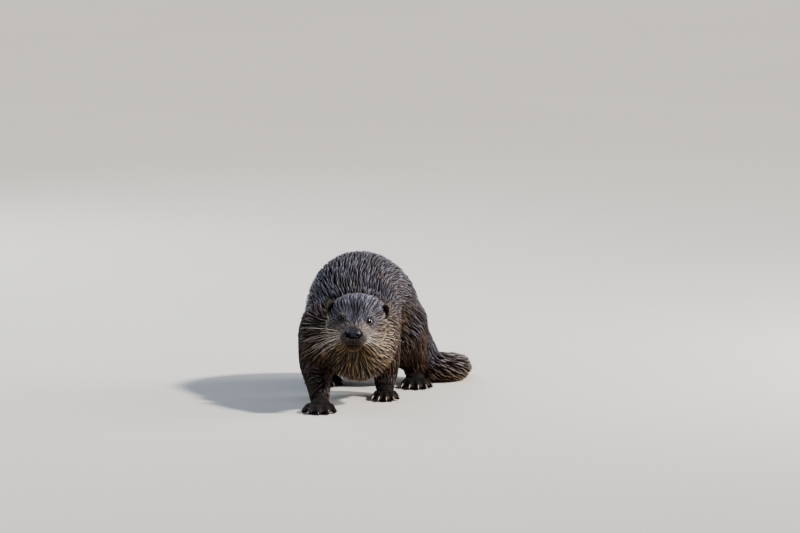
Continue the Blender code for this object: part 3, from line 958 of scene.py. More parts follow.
def as_mesh(bm: bmesh.types.BMesh, name: str) -> bpy.types.Mesh:
    """A new mesh of a bmesh, which is freed."""
    mesh = bpy.data.meshes.new(name)
    bm.to_mesh(mesh)
    bm.free()
    return mesh


def linked(name: str, data: bpy.types.ID) -> bpy.types.Object:
    """A new object of the data, in the scene."""
    made = bpy.data.objects.new(name, data)
    bpy.context.scene.collection.objects.link(made)
    return made


def places_of(mesh: bpy.types.Mesh) -> np.ndarray:
    """The places of a mesh's vertices."""
    found = np.empty(len(mesh.vertices) * 3, np.float32)
    mesh.vertices.foreach_get("co", found)
    return found.reshape(-1, 3).astype(float)


def normals_of(mesh: bpy.types.Mesh) -> np.ndarray:
    """The outward directions at a mesh's vertices."""
    found = np.empty(len(mesh.vertices) * 3, np.float32)
    mesh.vertex_normals.foreach_get("vector", found)
    return found.reshape(-1, 3).astype(float)


def set_places(mesh: bpy.types.Mesh, places: np.ndarray) -> None:
    """Moves a mesh's vertices."""
    mesh.vertices.foreach_set("co", places.astype(np.float32).ravel())
    mesh.update()


def paint(mesh: bpy.types.Mesh, name: str, values: np.ndarray) -> None:
    """Stores a number or a colour at each vertex of a mesh."""
    if values.ndim == 1:
        made = mesh.attributes.new(name, "FLOAT", "POINT")
        made.data.foreach_set("value", values.astype(np.float32))
    else:
        made = mesh.attributes.new(name, "FLOAT_COLOR", "POINT")
        rows = np.ones((len(values), 4), np.float32)
        rows[:, :3] = values
        made.data.foreach_set("color", rows.ravel())


def relaxed(
    places: np.ndarray, edges: np.ndarray, weights: np.ndarray, passes: int
) -> np.ndarray:
    """Smooths a mesh's places, each by its own weight.

    Args:
        places: The vertices' places.
        edges: Pairs of vertex numbers.
        weights: From 0, kept, to 1, moved fully to the neighbours' middle.
        passes: How often.

    Returns:
        The new places.
    """
    valence = np.bincount(edges.ravel(), minlength=len(places)).astype(float)
    valence = np.maximum(valence, 1.0)[:, None]
    for _ in range(passes):
        total = np.empty_like(places)
        for axis in range(3):
            ahead = np.bincount(edges[:, 0], places[edges[:, 1], axis], len(places))
            behind = np.bincount(edges[:, 1], places[edges[:, 0], axis], len(places))
            total[:, axis] = ahead + behind
        places = places + (total / valence - places) * weights[:, None]
    return places


def finished(
    name: str, mesh: bpy.types.Mesh, material: bpy.types.Material, slot: str, *nodes: str
) -> bpy.types.Object:
    """Makes a piece of a mesh in the model's frame.

    Args:
        name: The piece's name.
        mesh: Its mesh.
        material: Its finish.
        slot: A material slot's name; not used.
        *nodes: The solids that it stands for.

    Returns:
        The piece.
    """
    mesh.name = name
    mesh.materials.clear()
    mesh.materials.append(material)
    made = linked(name, mesh)
    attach(made, ROOT_BODY)
    if nodes:
        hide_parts(*nodes)
    LOG.info("%s: %d faces", name, len(mesh.polygons))
    return made


# ---------------------------------------------------------------- skin


@dataclass
class PawForm:
    """The forms of one paw as a distance: palm, toes with their knuckles, web and ankle."""

    pose: Pose
    paw: str
    slim: float = 0.74  # the toes' thickness against the solid's
    palm_height: float = 0.0120
    web_radius: float = 0.0015
    softness: float = 0.0009
    rounds: int = 5  # how often the skin is moved towards the forms
    pace: float = 0.8  # share of the way that it is moved each time
    probe: float = 0.0003  # distance over which the forms' slope is read
    longest_step: float = 0.003
    longest_move: float = 0.007

    def __post_init__(self) -> None:
        """Lays out the paw's rods, each from one point and radius to another."""
        _, _, length, width, _ = self.pose.paws[self.paw]
        self.palm = np.array((width / 2 * 0.94, length / 2, self.palm_height))
        toes = [self._toe(index) for index in range(len(self.pose.toe_fan))]
        self.toes = [rod for toe in toes for rod in zip(toe, toe[1:])]
        self.webs = []
        for first, second in zip(toes, toes[1:]):
            for share in (0.0, 0.30, 0.52):
                ends = [self._along(toe, share) for toe in (first, second)]
                self.webs.append([(np.array([*end[:2], 0.0040]), self.web_radius) for end in ends])
        leg = self.paw.replace("paw", "leg")
        strand = next(strand for strand in self.pose.strands if strand.name == leg)
        back = self.pose.paw_matrix(self.paw).inverted()
        joints = [np.array(back @ Vector(point)) for point in strand.points[1:4]]
        self.ankle = list(zip(zip(joints, strand.radii[1:]), zip(joints[1:], strand.radii[2:])))

    def _toe(self, index: int) -> list[Joint]:
        """Root, knuckle, pad and tip of a toe, with their radii."""
        tip, heading = self.pose.toe(self.paw, index)
        scale = self.pose.toe_scale(self.paw)
        reach = self.pose.toe_reach[index] * scale
        radius = self.pose.toe_radius * scale * self.slim
        root = tip - heading * reach
        made = []
        for share, height, size in (
            (0.0, 0.0090, 1.0),
            (0.45, 0.0118, 0.94),
            (0.80, 0.0068, 1.10),
            (0.99, 0.0054, 0.74),
        ):
            place = root + heading * (reach * share)
            made.append((np.array((place.x, place.y, height)), radius * size))
        return made

    def _along(self, toe: list[Joint], share: float) -> np.ndarray:
        """A point of a toe at a share of its length."""
        return toe[0][0] + (toe[2][0] - toe[0][0]) * share / 0.8

    def distance(self, places: np.ndarray) -> np.ndarray:
        """How far outside the paw's forms each point of its frame lies."""
        palm = np.linalg.norm((places - (0, 0, self.palm_height - 0.0012)) / self.palm, axis=1)
        found = (palm - 1.0) * self.palm.min()
        for rods, softness in (
            (self.webs, 0.0012),
            (self.toes, self.softness),
            (self.ankle, 0.006),
        ):
            group = np.full(len(places), 1.0)
            for start, end in rods:
                group = np.minimum(group, self._rod(places, start, end))
            found = self._joined(found, group, softness)
        return found

    def _rod(self, places: np.ndarray, start: Joint, end: Joint) -> np.ndarray:
        """The distance from a tapered rod with round ends."""
        span = end[0] - start[0]
        share = np.clip((places - start[0]) @ span / (span @ span), 0.0, 1.0)
        away = np.linalg.norm(places - start[0] - share[:, None] * span, axis=1)
        return away - (start[1] + share * (end[1] - start[1]))

    def _joined(self, first: np.ndarray, second: np.ndarray, softness: float) -> np.ndarray:
        """The nearer of two distances, soft where they meet."""
        share = np.clip(0.5 + 0.5 * (second - first) / softness, 0.0, 1.0)
        return second + (first - second) * share - softness * share * (1.0 - share)

    def settle(self, places: np.ndarray, depth: float) -> np.ndarray:
        """Moves points of the skin near the paw on to its forms.

        Args:
            places: Points in the pose frame.
            depth: How far inside the forms the skin lies.

        Returns:
            The points' new places.
        """
        frame = self.pose.paw_matrix(self.paw)
        turn = np.array(frame.to_3x3())
        local = (places - np.array(frame.translation)) @ turn
        _, _, length, width, _ = self.pose.paws[self.paw]
        start = local.copy()
        hold = ramp(local[:, 2], 0.036, 0.022)
        reach = np.maximum(np.abs(local[:, 0]) - width / 2, 0.0)
        hold = hold * ramp(reach, 0.026, 0.018)
        hold = hold * ramp(-local[:, 1], length / 2 + 0.038, length / 2 + 0.032)
        hold = hold * ramp(local[:, 1], length / 2 + 0.006, length / 2 - 0.004)
        rows = np.flatnonzero(hold > 0.0)
        near = local[rows]
        for _ in range(self.rounds):
            value = self.distance(near) + depth
            slope = np.stack(
                [
                    self.distance(near + step) - self.distance(near - step)
                    for step in self.probe * np.eye(3)
                ],
                axis=1,
            )
            value = np.clip(value, -self.longest_step, self.longest_step)
            near = near - unit(slope) * value[:, None] * self.pace
        moved = near - start[rows]
        length_moved = np.linalg.norm(moved, axis=1, keepdims=True)
        moved = moved * np.minimum(1.0, self.longest_move / np.maximum(length_moved, 1e-9))
        local[rows] = start[rows] + moved * hold[rows][:, None]
        return local @ turn.T + np.array(frame.translation)


@dataclass
class Skin:
    """The one skin of the whole body, inside the solids by the depth of the coat."""

    pose: Pose
    grooming: Grooming
    voxel: float = 0.0028
    overlap: float = 0.0006  # how far the parts grow, to close the cuts between them
    passes: int = 9
    face_reach: float = 0.060  # the face is made finer within this distance of the nose
    mouth_depth: float = 0.0016
    opening: tuple[float, float] = (58.0, 46.0)  # half the eye's opening, across and up
    paw_depth: float = 0.0005
    nose_collar: float = 0.0048  # how far the muzzle reaches forward round the nose
    bare_tone: Row = (0.007, 0.006, 0.006)

    def build(self) -> bpy.types.Object:
        """Makes the skin.

        Returns:
            The skin's object, in the model's frame.
        """
        mesh = self._fused()
        self._refine(mesh)
        places = places_of(mesh) - self.pose.offset
        edges = np.empty(len(mesh.edges) * 2, np.int32)
        mesh.edges.foreach_get("vertices", edges)
        edges = edges.reshape(-1, 2)
        local = self.pose.to_head(places)
        on_head = 1.0 - ramp(np.linalg.norm(local, axis=1), 0.09, 0.12)
        low = 1.0 - ramp(places[:, 2], 0.022, 0.04)
        weights = 0.5 * (1.0 - 0.45 * on_head) * (1.0 - 0.5 * low)
        places = relaxed(places, edges, weights, self.passes)
        set_places(mesh, places)
        lie = self.grooming.lie(places, normals_of(mesh))
        depth = np.repeat(lie.growth[:, :1], 3, 1)
        depth = relaxed(depth, edges, np.full(len(places), 0.5), 4)
        places = places - normals_of(mesh) * depth[:, :1]
        for paw in PAW_NAMES:
            places = PawForm(self.pose, paw).settle(places, self.paw_depth)
        set_places(mesh, places)
        places = self._sculpt(mesh, places)
        places[:, 2] = np.maximum(places[:, 2], FLOOR_LEVEL)
        set_places(mesh, places)
        bare = self._bareness(places)
        # The skin takes the roots' tones, darker still: painted shade under the coat
        paint(mesh, "tone", blend(lie.root_tone * 0.75, np.array([self.bare_tone]), bare))
        paint(mesh, "bare", bare)
        mesh.transform(Matrix.Translation(self.pose.shift))
        mesh.shade_smooth()
        mesh.calc_loop_triangles()
        LOG.info("skin: %d triangles", len(mesh.loop_triangles))
        return finished("skin", mesh, SkinFinish().material(), "fur", *FLESH_NODES)

    def _fused(self) -> bpy.types.Mesh:
        """The flesh solids as one closed surface, over the eyes as well."""
        whole = bmesh.new()
        for name in (*FLESH_NODES, *EYE_NODES):
            part = bmesh.new()
            part.from_mesh(bpy.data.objects[name].data)
            bmesh.ops.remove_doubles(part, verts=part.verts, dist=1e-5)
            part.normal_update()
            for vertex in part.verts:
                vertex.co += vertex.normal * self.overlap
            grown = as_mesh(part, "grown")
            whole.from_mesh(grown)
            bpy.data.meshes.remove(grown)
        mesh = as_mesh(whole, "flesh")
        holder = linked("flesh", mesh)
        fuse = holder.modifiers.new("fuse", "REMESH")
        fuse.mode = "VOXEL"
        fuse.voxel_size = self.voxel
        bpy.context.view_layer.update()
        graph = bpy.context.evaluated_depsgraph_get()
        fused = bpy.data.meshes.new_from_object(holder.evaluated_get(graph), depsgraph=graph)
        bpy.data.objects.remove(holder)
        bpy.data.meshes.remove(mesh)
        return fused

    def _refine(self, mesh: bpy.types.Mesh) -> None:
        """Halves the edges where the forms are fine: the face, round the eyes and the toes."""
        eyes = [self.pose.from_head(centre) for _, centre, _ in self.pose.eyes()]
        nose = np.array(self.pose.nose_tip)
        bm = bmesh.new()
        bm.from_mesh(mesh)
        for reach, round_eye in ((self.face_reach, 0.020), (0.035, 0.014), (0.0, 0.0090)):
            places = np.array([vertex.co for vertex in bm.verts]) - self.pose.offset
            near = np.linalg.norm(places - nose, axis=1) < reach
            for eye in eyes:
                near |= np.linalg.norm(places - eye, axis=1) < round_eye
            if reach == self.face_reach:
                near |= self._on_toes(places)
            edges = [edge for edge in bm.edges if near[edge.verts[0].index]]
            bmesh.ops.subdivide_edges(bm, edges=edges, cuts=1, use_grid_fill=True)
            bm.verts.index_update()
        bmesh.ops.triangulate(bm, faces=[f for f in bm.faces if len(f.verts) > 4])
        bm.to_mesh(mesh)
        bm.free()

    def _on_toes(self, places: np.ndarray) -> np.ndarray:
        """Which points lie on the front of a paw, above its sole."""
        found = np.zeros(len(places), bool)
        for paw in PAW_NAMES:
            frame = self.pose.paw_matrix(paw)
            half = self.pose.paws[paw][2] / 2
            own = (places - np.array(frame.translation)) @ np.array(frame.to_3x3())
            ahead = (own[:, 1] > -half - 0.040) & (own[:, 1] < 0.35 * half)
            found |= ahead & (np.abs(own[:, 0]) < 0.040) & (own[:, 2] < 0.024)
        return found & (places[:, 2] > FLOOR_LEVEL + 0.0012)

    def _sculpt(self, mesh: bpy.types.Mesh, places: np.ndarray) -> np.ndarray:
        """Works the lids, lips, nose seat and pads into the head."""
        local = self.pose.to_head(places)
        outward = normals_of(mesh) @ self.pose.head_axes
        for side in (-1, 1):
            for centre, size, height in (
                ((0.0115, 0.012, -0.0100), (0.0095, 0.012, 0.0075), 0.0022),  # whisker pad
                ((0.0230, 0.038, 0.0235), (0.012, 0.012, 0.006), 0.0016),  # brow
                ((0.0150, 0.026, 0.0060), (0.006, 0.012, 0.007), -0.0014),  # beside the bridge
                ((0.0300, 0.052, -0.0020), (0.014, 0.018, 0.012), 0.0014),  # cheek bone
                ((0.0440, 0.084, 0.0130), (0.010, 0.008, 0.010), -0.0015),  # before the ear
                ((0.0, 0.016, -0.0250), (0.010, 0.010, 0.005), 0.0006),  # chin
                ((0.0060, 0.104, 0.0440), (0.046, 0.030, 0.024), 0.0021),  # crest of the head
            ):
                middle = np.array(centre) * (side, 1, 1)
                reach = (((local - middle) / np.array(size)) ** 2).sum(1)
                local = local + outward * (height * np.exp(-reach))[:, None]
        local = self._mouth(local, outward)
        ring = np.hypot(local[:, 0] / 0.0126, (local[:, 2] - 0.0006) / 0.0080)
        forward = ramp(local[:, 1], 0.028, 0.008) * ramp(ring, 0.80, 1.06)
        local[:, 1] -= self.nose_collar * forward
        for _, centre, aim in self.pose.eyes():
            local = self._lids(local, centre, aim)
        return self.pose.from_head(local)

    def mouth_offset(self, local: np.ndarray) -> np.ndarray:
        """How far above the line of the mouth each point of the head's frame lies."""
        x, y = local[:, 0], local[:, 1]
        front = np.array(self.pose.mouth_front)
        line = front[2] - 0.06 * (y - front[1]) - 8.0 * np.minimum(x * x, 0.0002)
        return local[:, 2] - line

    def mouth_weight(self, local: np.ndarray) -> np.ndarray:
        """1 where the mouth can be, and 0 behind its corners."""
        return 1.0 - ramp(local[:, 1], 0.032, 0.042)

    def _mouth(self, local: np.ndarray, outward: np.ndarray) -> np.ndarray:
        """Cuts the line of the closed mouth, under the upper lip's overhang."""
        offset = self.mouth_offset(local)
        weight = self.mouth_weight(local)
        groove = bell(offset, 0.0011) * self.mouth_depth
        lip = bell(offset - 0.0030, 0.0022) * 0.0010
        local = local + outward * ((lip - groove) * weight)[:, None]
        parting = bell(local[:, 0], 0.0009) * ramp(offset, 0.0, 0.002)
        parting = parting * ramp(local[:, 2], -0.004, -0.008) * ramp(local[:, 1], 0.022, 0.014)
        return local - outward * (0.0010 * parting)[:, None]

    def across_eye(self, aim: np.ndarray) -> tuple[np.ndarray, np.ndarray]:
        """The directions along and up an eye's opening."""
        side = unit(np.cross(aim, [0.0, 0.0, 1.0]))
        return side, np.cross(side, aim)

    def past_opening(self, local: np.ndarray, centre: np.ndarray, aim: np.ndarray) -> np.ndarray:
        """How far outside an eye's opening each point lies, seen from the eye's middle.

        Args:
            local: Points in the head's frame.
            centre: The eyeball's middle.
            aim: The way that the eye looks.

        Returns:
            The angle past the opening's edge.
        """
        away = unit(local - centre)
        side, over = self.across_eye(aim)
        around = np.arctan2(away @ over, away @ side)
        wide, high = (math.radians(angle) for angle in self.opening)
        opening = 1.0 / np.sqrt((np.cos(around) / wide) ** 2 + (np.sin(around) / high) ** 2)
        return np.arccos(np.clip(away @ aim, -1.0, 1.0)) - opening

    def _lids(self, local: np.ndarray, centre: np.ndarray, aim: np.ndarray) -> np.ndarray:
        """Opens the skin round an eyeball and folds it into lids."""
        radius = self.pose.eye_radius
        offset = local - centre
        distance = np.linalg.norm(offset, axis=1)
        away = offset / np.maximum(distance, 1e-9)[:, None]
        past = self.past_opening(local, centre, aim)
        degree = math.radians(1.0)
        inner = radius - 0.0020
        edge = inner + (radius + 0.0005 - inner) * ramp(past, -5.0 * degree, 1.0 * degree)
        rim = edge + 0.0006 * ramp(past, 0.0, 6.0 * degree)
        fold = 0.0006 * bell(past - 14.0 * degree, 5.0 * degree)
        hold = ramp(past, 24.0 * degree, 6.0 * degree) * ramp(distance, 0.017, 0.0125)
        natural = np.maximum(distance, rim) - fold
        new = natural + (rim - natural) * hold
        new = np.where(distance < 0.017, new, distance)
        new = distance + (new - distance) * ramp(past, 54.0 * degree, 34.0 * degree)
        return centre + away * new[:, None]

    def _bareness(self, places: np.ndarray) -> np.ndarray:
        """Where the skin is bare and dark: at the lids, the lips and under the nose."""
        local = self.pose.to_head(places)
        bare = bell(self.mouth_offset(local), 0.0014) * self.mouth_weight(local)
        bare *= 1.0 - ramp(np.linalg.norm(local, axis=1), 0.045, 0.055)
        nose = self.pose.to_nose(local)
        bare = np.maximum(bare, ramp(np.linalg.norm(nose, axis=1), 1.5, 1.15))
        for _, centre, aim in self.pose.eyes():
            past = self.past_opening(local, centre, aim)
            close = np.linalg.norm(local - centre, axis=1) < 0.011
            bare = np.maximum(bare, close * ramp(past, math.radians(12), math.radians(7)))
        return np.maximum(bare, self.pose.near_toe_tips(places, 0.020))


# ---------------------------------------------------------------- coat


@dataclass(frozen=True)
class Tuft:
    """One tuft's shape: a closed spike with a triangular root, a middle ring and a tip."""

    map_corners: tuple[tuple[float, float], ...] = (
        (-1.0, -1.0),
        (1.0, -1.0),
        (0.0, -0.8),
        (-1.0, 0.1),
        (1.0, 0.1),
        (0.0, 0.3),
        (0.0, 1.0),
    )
    patch: float = 0.003  # size of its patch on the unwrapped skin

    def faces(self) -> np.ndarray:
        """Corners of a spike's triangles: 0 to 2 at its root, 3 to 5 midway, 6 at its tip."""
        bm = bmesh.new()
        bmesh.ops.create_cone(bm, cap_ends=True, segments=3, radius1=1.0, radius2=0.9, depth=2.0)
        top = [face for face in bm.faces if face.calc_center_median().z > 0.5]
        tip = bmesh.ops.poke(bm, faces=top)["verts"]
        bmesh.ops.translate(bm, vec=(0.0, 0.0, 1.0), verts=tip)
        bmesh.ops.triangulate(bm, faces=bm.faces)
        bmesh.ops.recalc_face_normals(bm, faces=bm.faces)
        turn = {v: (math.degrees(math.atan2(v.co.y, v.co.x)) - 180.0) % 360.0 for v in bm.verts}
        ordered = sorted(bm.verts, key=lambda v: (round(v.co.z), turn[v]))
        rank = {vertex: place for place, vertex in enumerate(ordered)}
        found = np.array([[rank[vertex] for vertex in face.verts] for face in bm.faces])
        bm.free()
        return found

    def spikes(
        self,
        roots: np.ndarray,
        middles: np.ndarray,
        tips: np.ndarray,
        sides: np.ndarray,
        normals: np.ndarray,
        widths: np.ndarray,
    ) -> np.ndarray:
        """The corners of many tufts.

        Args:
            roots: Where each tuft starts, inside the skin.
            middles: Where its middle lies.
            tips: Where it ends.
            sides: The way across it.
            normals: The way out of the skin.
            widths: Its width at the root.

        Returns:
            Seven corners for each tuft.
        """
        half = (0.5 * widths)[:, None] * sides
        rise = (0.42 * widths)[:, None] * normals
        return np.stack(
            (
                roots - half,
                roots + half,
                roots + rise,
                middles - half * 0.88,
                middles + half * 0.88,
                middles + rise * 0.9,
                tips,
            ),
            axis=1,
        )

    def mesh(
        self,
        name: str,
        corners: np.ndarray,
        tones: np.ndarray,
        spots: np.ndarray,
        flip: bool = False,
    ) -> bpy.types.Mesh:
        """The mesh of many tufts.

        Args:
            name: The mesh's name.
            corners: Seven corners for each tuft, in the model's frame.
            tones: A colour for each corner.
            spots: Where each tuft's root lies on the unwrapped skin.
            flip: Whether the corners were mirrored.

        Returns:
            The mesh, with its colours and its map.
        """
        pattern = self.faces()
        if flip:
            pattern = pattern[:, ::-1]
        triangles = (np.arange(len(corners)) * TUFT_CORNERS)[:, None, None] + pattern[None]
        made = fast_mesh(name, corners.reshape(-1, 3), triangles.reshape(-1, 3))
        paint(made, "tone", np.clip(tones.reshape(-1, 3), 0.0, 1.0))
        spread = np.array(self.map_corners) * (self.patch / 2)
        places = (spots[:, None, :] + spread[None]).reshape(-1, 2)
        vertex = np.empty(len(made.loops), np.int32)
        made.loops.foreach_get("vertex_index", vertex)
        layer = made.uv_layers.new(name="OFBake")
        layer.uv.foreach_set("vector", places[vertex].astype(np.float32).ravel())
        made.shade_smooth()
        return made


@dataclass
class Locks:
    """The locks that the wet coat draws together in, and each tuft's place in its lock."""

    centre: np.ndarray
    flow: np.ndarray
    side: np.ndarray
    normal: np.ndarray
    growth: np.ndarray
    owner: np.ndarray
    along: np.ndarray
    across: np.ndarray

    @classmethod
    def gather(cls, places: np.ndarray, normals: np.ndarray, lie: Lie) -> Locks:
        """Chooses the locks' middles among the roots and gives every root to a lock.

        Args:
            places: The roots.
            normals: The skin's outward direction at each root.
            lie: The coat's lie at each root.

        Returns:
            The locks.
        """
        sizes = lie.growth
        size = np.sqrt(sizes[:, 2] * sizes[:, 3]) * LOCK_SPREAD
        seeds = np.flatnonzero(evened(places, size))
        tree = KDTree(len(seeds))
        for index, place in enumerate(places[seeds]):
            tree.insert(place, index)
        tree.balance()
        hits = (tree.find_n(place, LOCK_CHOICES) for place in places)
        near = np.array([[hit[1] for hit in found] for found in hits])
        offset = places[:, None, :] - places[seeds][near]
        flow = lie.flow[seeds]
        normal = normals[seeds]
        side = np.cross(normal, flow)
        along = dot(offset, flow[near])
        across = dot(offset, side[near])
        out = dot(offset, normal[near])
        own = sizes[seeds][near]
        distance = (along / own[..., 2]) ** 2 + (across / own[..., 3]) ** 2
        distance += (out / own[..., 3]) ** 2
        best = distance.argmin(1)
        rows = np.arange(len(places))
        return cls(
            centre=places[seeds],
            flow=flow,
            side=side,
            normal=normal,
            growth=sizes[seeds],
            owner=near[rows, best],
            along=along[rows, best],
            across=across[rows, best],
        )


def evened(places: np.ndarray, sizes: np.ndarray) -> np.ndarray:
    """Picks one place in each small cell, which spaces them evenly.

    Args:
        places: Places, one a row, in a chance order.
        sizes: The size of the cells wanted at each place.

    Returns:
        Whether each place is kept.
    """
    keep = np.zeros(len(places), bool)
    step = np.round(np.log(sizes) / math.log(CELL_STEP)).astype(int)
    for level in np.unique(step):
        rows = np.flatnonzero(step == level)
        cells = np.floor(places[rows] / CELL_STEP**level).astype(np.int64)
        _, first = np.unique(cells, axis=0, return_index=True)
        keep[rows[first]] = True
    return keep


@dataclass
class Coat:
    """The guard hair: solid tufts on the skin, drawn together in locks along the body."""

    pose: Pose
    grooming: Grooming
    skin: bpy.types.Object
    face: Skin
    tuft: Tuft = Tuft()
    sink: float = 0.0006  # how deep the roots are set in the skin
    clearance: float = 0.0003  # lowest that a hair lies above the floor
    seated: tuple[Region, ...] = (Region.HEAD, Region.LEG, Region.PAW)

    def build(self) -> list[bpy.types.Object]:
        """Makes all the coat's pieces.

        Returns:
            The pieces, in the model's frame.
        """
        random = np.random.default_rng(SEED)
        places, normals = self._roots(random)
        lie = self.grooming.lie(places, normals)
        keep = evened(places, lie.growth[:, 5]) & self._allowed(places)
        places, normals, lie = places[keep], normals[keep], lie.rows(keep)
        locks = Locks.gather(places, normals, lie)
        corners, tones = self._strands(places, normals, lie, locks)
        material = CoatFinish().material()
        pieces = []
        for index, region in enumerate(Region):
            chosen = np.flatnonzero(lie.region == index)
            chosen = chosen[np.argsort(places[chosen, 1], kind="stable")]
            parts = math.ceil(len(chosen) / TUFTS_PER_PIECE)
            for number, rows in enumerate(np.array_split(chosen, parts)):
                name = f"coat_{region.value}_{number + 1}"
                mesh = self.tuft.mesh(name, corners[rows], tones[rows], lie.map_place[rows])
                pieces.append(finished(name, mesh, material, "fur"))
        LOG.info("tufts: %d, locks: %d", len(places), len(locks.centre))
        return pieces

    def _roots(self, random: np.random.Generator) -> tuple[np.ndarray, np.ndarray]:
        """Chance places on the skin, closer together than the roots will be.

        Args:
            random: The source of chance.

        Returns:
            Places and outward directions, in the pose frame, in a chance order.
        """
        mesh = self.skin.data
        mesh.calc_loop_triangles()
        corners = np.empty(len(mesh.loop_triangles) * 3, np.int32)
        mesh.loop_triangles.foreach_get("vertices", corners)
        corners = corners.reshape(-1, 3)
        places = places_of(mesh) - self.pose.offset
        normals = normals_of(mesh)
        first, second, third = (places[corners[:, i]] for i in range(3))
        area = np.linalg.norm(np.cross(second - first, third - first), axis=1) / 2
        middle = (first + second + third) / 3
        lie = self.grooming.lie(middle, unit(normals[corners].mean(1)))
        wanted = area / lie.growth[:, 5] ** 2 * 2.4
        count = np.floor(wanted + random.random(len(wanted))).astype(int)
        chosen = random.permutation(np.repeat(np.arange(len(corners)), count))
        share = random.random((len(chosen), 2))
        flip = share.sum(1) > 1.0
        share[flip] = 1.0 - share[flip]
        weights = np.column_stack((1.0 - share.sum(1), share))
        place = np.einsum("nk,nkj->nj", weights, places[corners[chosen]])
        normal = unit(np.einsum("nk,nkj->nj", weights, normals[corners[chosen]]))
        return place, normal

    def _allowed(self, places: np.ndarray) -> np.ndarray:
        """Where hair grows: not on the lids, the nose, the lips' edge, or under the feet."""
        local = self.pose.to_head(places)
        allowed = places[:, 2] > FLOOR_LEVEL + 0.0010
        for _, centre, aim in self.pose.eyes():
            past = self.face.past_opening(local, centre, aim)
            close = np.linalg.norm(local - centre, axis=1) < 0.013
            allowed &= ~(close & (past < math.radians(6.0)))
        nose = self.pose.to_nose(local)
        allowed &= (nose**2).sum(1) > 1.10
        lips = np.abs(self.face.mouth_offset(local)) < 0.0006
        allowed &= ~(lips & (self.face.mouth_weight(local) > 0.5))
        tips = self.pose.near_toe_tips(places, 0.020)
        return allowed & (tips < 0.55 + 0.4 * chance_at(places, 91))

    def _strands(
        self, places: np.ndarray, normals: np.ndarray, lie: Lie, locks: Locks
    ) -> tuple[np.ndarray, np.ndarray]:
        """Shapes and colours every tuft within its lock, with painted light on each lock's middle,
        painted shade at its sides and roots, and painted glints on some tips.

        Args:
            places: The roots.
            normals: The skin's outward direction at each root.
            lie: The coat's lie at each root.
            locks: The locks.

        Returns:
            Seven corners and seven colours for each tuft, the corners in the model's frame.
        """
        own = [chance_at(places, seed) for seed in range(31, 38)]
        lock = [chance_at(locks.centre, seed)[locks.owner] for seed in range(71, 75)]
        centre, ahead = locks.centre[locks.owner], locks.flow[locks.owner]
        side, out = locks.side[locks.owner], locks.normal[locks.owner]
        depth, overhang, along, across, width, _ = locks.growth[locks.owner].T
        ridge = bell(locks.across, 0.30 * across)
        reach = 0.42 * along + overhang * (0.75 + 0.5 * lock[0]) * (0.70 + 0.45 * own[0])
        reach = reach + 0.30 * locks.along
        bend = (lock[1] - 0.5) * 0.55 * across + (own[1] - 0.5) * 0.28 * across
        height = depth * (0.62 + 0.34 * lock[2]) * (0.62 + 0.30 * ridge + 0.16 * own[2])
        stray = ramp(own[3], 0.93, 1.0)
        gather = 0.13 + 0.8 * stray
        tip = (
            centre
            + ahead * reach[:, None]
            + side * (locks.across * gather + bend)[:, None]
            + out * height[:, None]
        )
        midway = locks.along + 0.48 * (reach - locks.along)
        middle = (
            centre
            + ahead * midway[:, None]
            + side * (locks.across * (0.42 + 0.5 * stray) + 0.3 * bend)[:, None]
            + out * (0.80 * height)[:, None]
        )
        root = places - normals * self.sink
        across_tuft = unit(np.cross(normals, unit(tip - places)))
        wide = width * (0.75 + 0.5 * own[4])
        fine = np.isin(lie.region, [list(Region).index(part) for part in self.seated])
        tip[fine] = self._seated(tip[fine], 0.72 * height[fine])
        middle[fine] = self._seated(middle[fine], np.maximum(0.62 * height[fine], 0.00035))
        corners = self.tuft.spikes(root, middle, tip, across_tuft, normals, wide)
        corners[:, :, 2] = np.maximum(corners[:, :, 2], FLOOR_LEVEL + self.clearance)
        corners = self._clear_of_eyes(corners)
        # Painted light: each lock's middle hairs are lit and its side hairs shaded; some tips
        # carry a painted glint
        shade = (0.70 + 0.45 * own[5]) * (0.34 + 1.30 * lock[3] ** 1.5)
        light = 0.12 + 0.88 * ridge
        painted_glint = 1.0 + 0.55 * ramp(own[6], 0.80, 1.0)
        tones = np.empty((len(places), TUFT_CORNERS, 3))
        # Roots darkened further as painted shade where the locks part
        tones[:, 0:3] = (lie.root_tone * 0.5)[:, None]
        tones[:, 3:6] = blend(lie.root_tone, lie.tip_tone, 0.60 * light * shade)[:, None]
        tones[:, 6] = lie.tip_tone * (shade * light * painted_glint)[:, None]
        return corners + self.pose.offset, tones

    def _seated(self, places: np.ndarray, heights: np.ndarray) -> np.ndarray:
        """Points brought to their heights above the skin, so that hair follows tight curves."""
        graph = bpy.context.evaluated_depsgraph_get()
        tree = BVHTree.FromObject(self.skin, graph)
        hits = [tree.find_nearest(place) for place in places + self.pose.offset]
        near = np.array([hit[0] for hit in hits]) - self.pose.offset
        out = np.array([hit[1] for hit in hits])
        return near + out * heights[:, None]

    def _clear_of_eyes(self, corners: np.ndarray) -> np.ndarray:
        """Pushes hair off the eyeballs, so that it lies round them."""
        shape = corners.shape
        local = self.pose.to_head(corners.reshape(-1, 3))
        limit = [math.sin(math.radians(angle + 5.0)) for angle in self.face.opening]
        for _, centre, aim in self.pose.eyes():
            offset = (local - centre) / self.pose.eye_radius
            side, over = self.face.across_eye(aim)
            along = offset @ aim
            across = np.hypot(offset @ side / limit[0], offset @ over / limit[1])
            inside = (along > 0.0) & (along < 2.3) & (across < 1.0)
            scale = np.where(inside, 1.0 / np.maximum(across, 1e-6), 1.0)
            flat = offset - along[:, None] * aim
            offset = along[:, None] * aim + flat * scale[:, None]
            local = centre + offset * self.pose.eye_radius
        return self.pose.from_head(local).reshape(shape)


# ---------------------------------------------------------------- face pieces


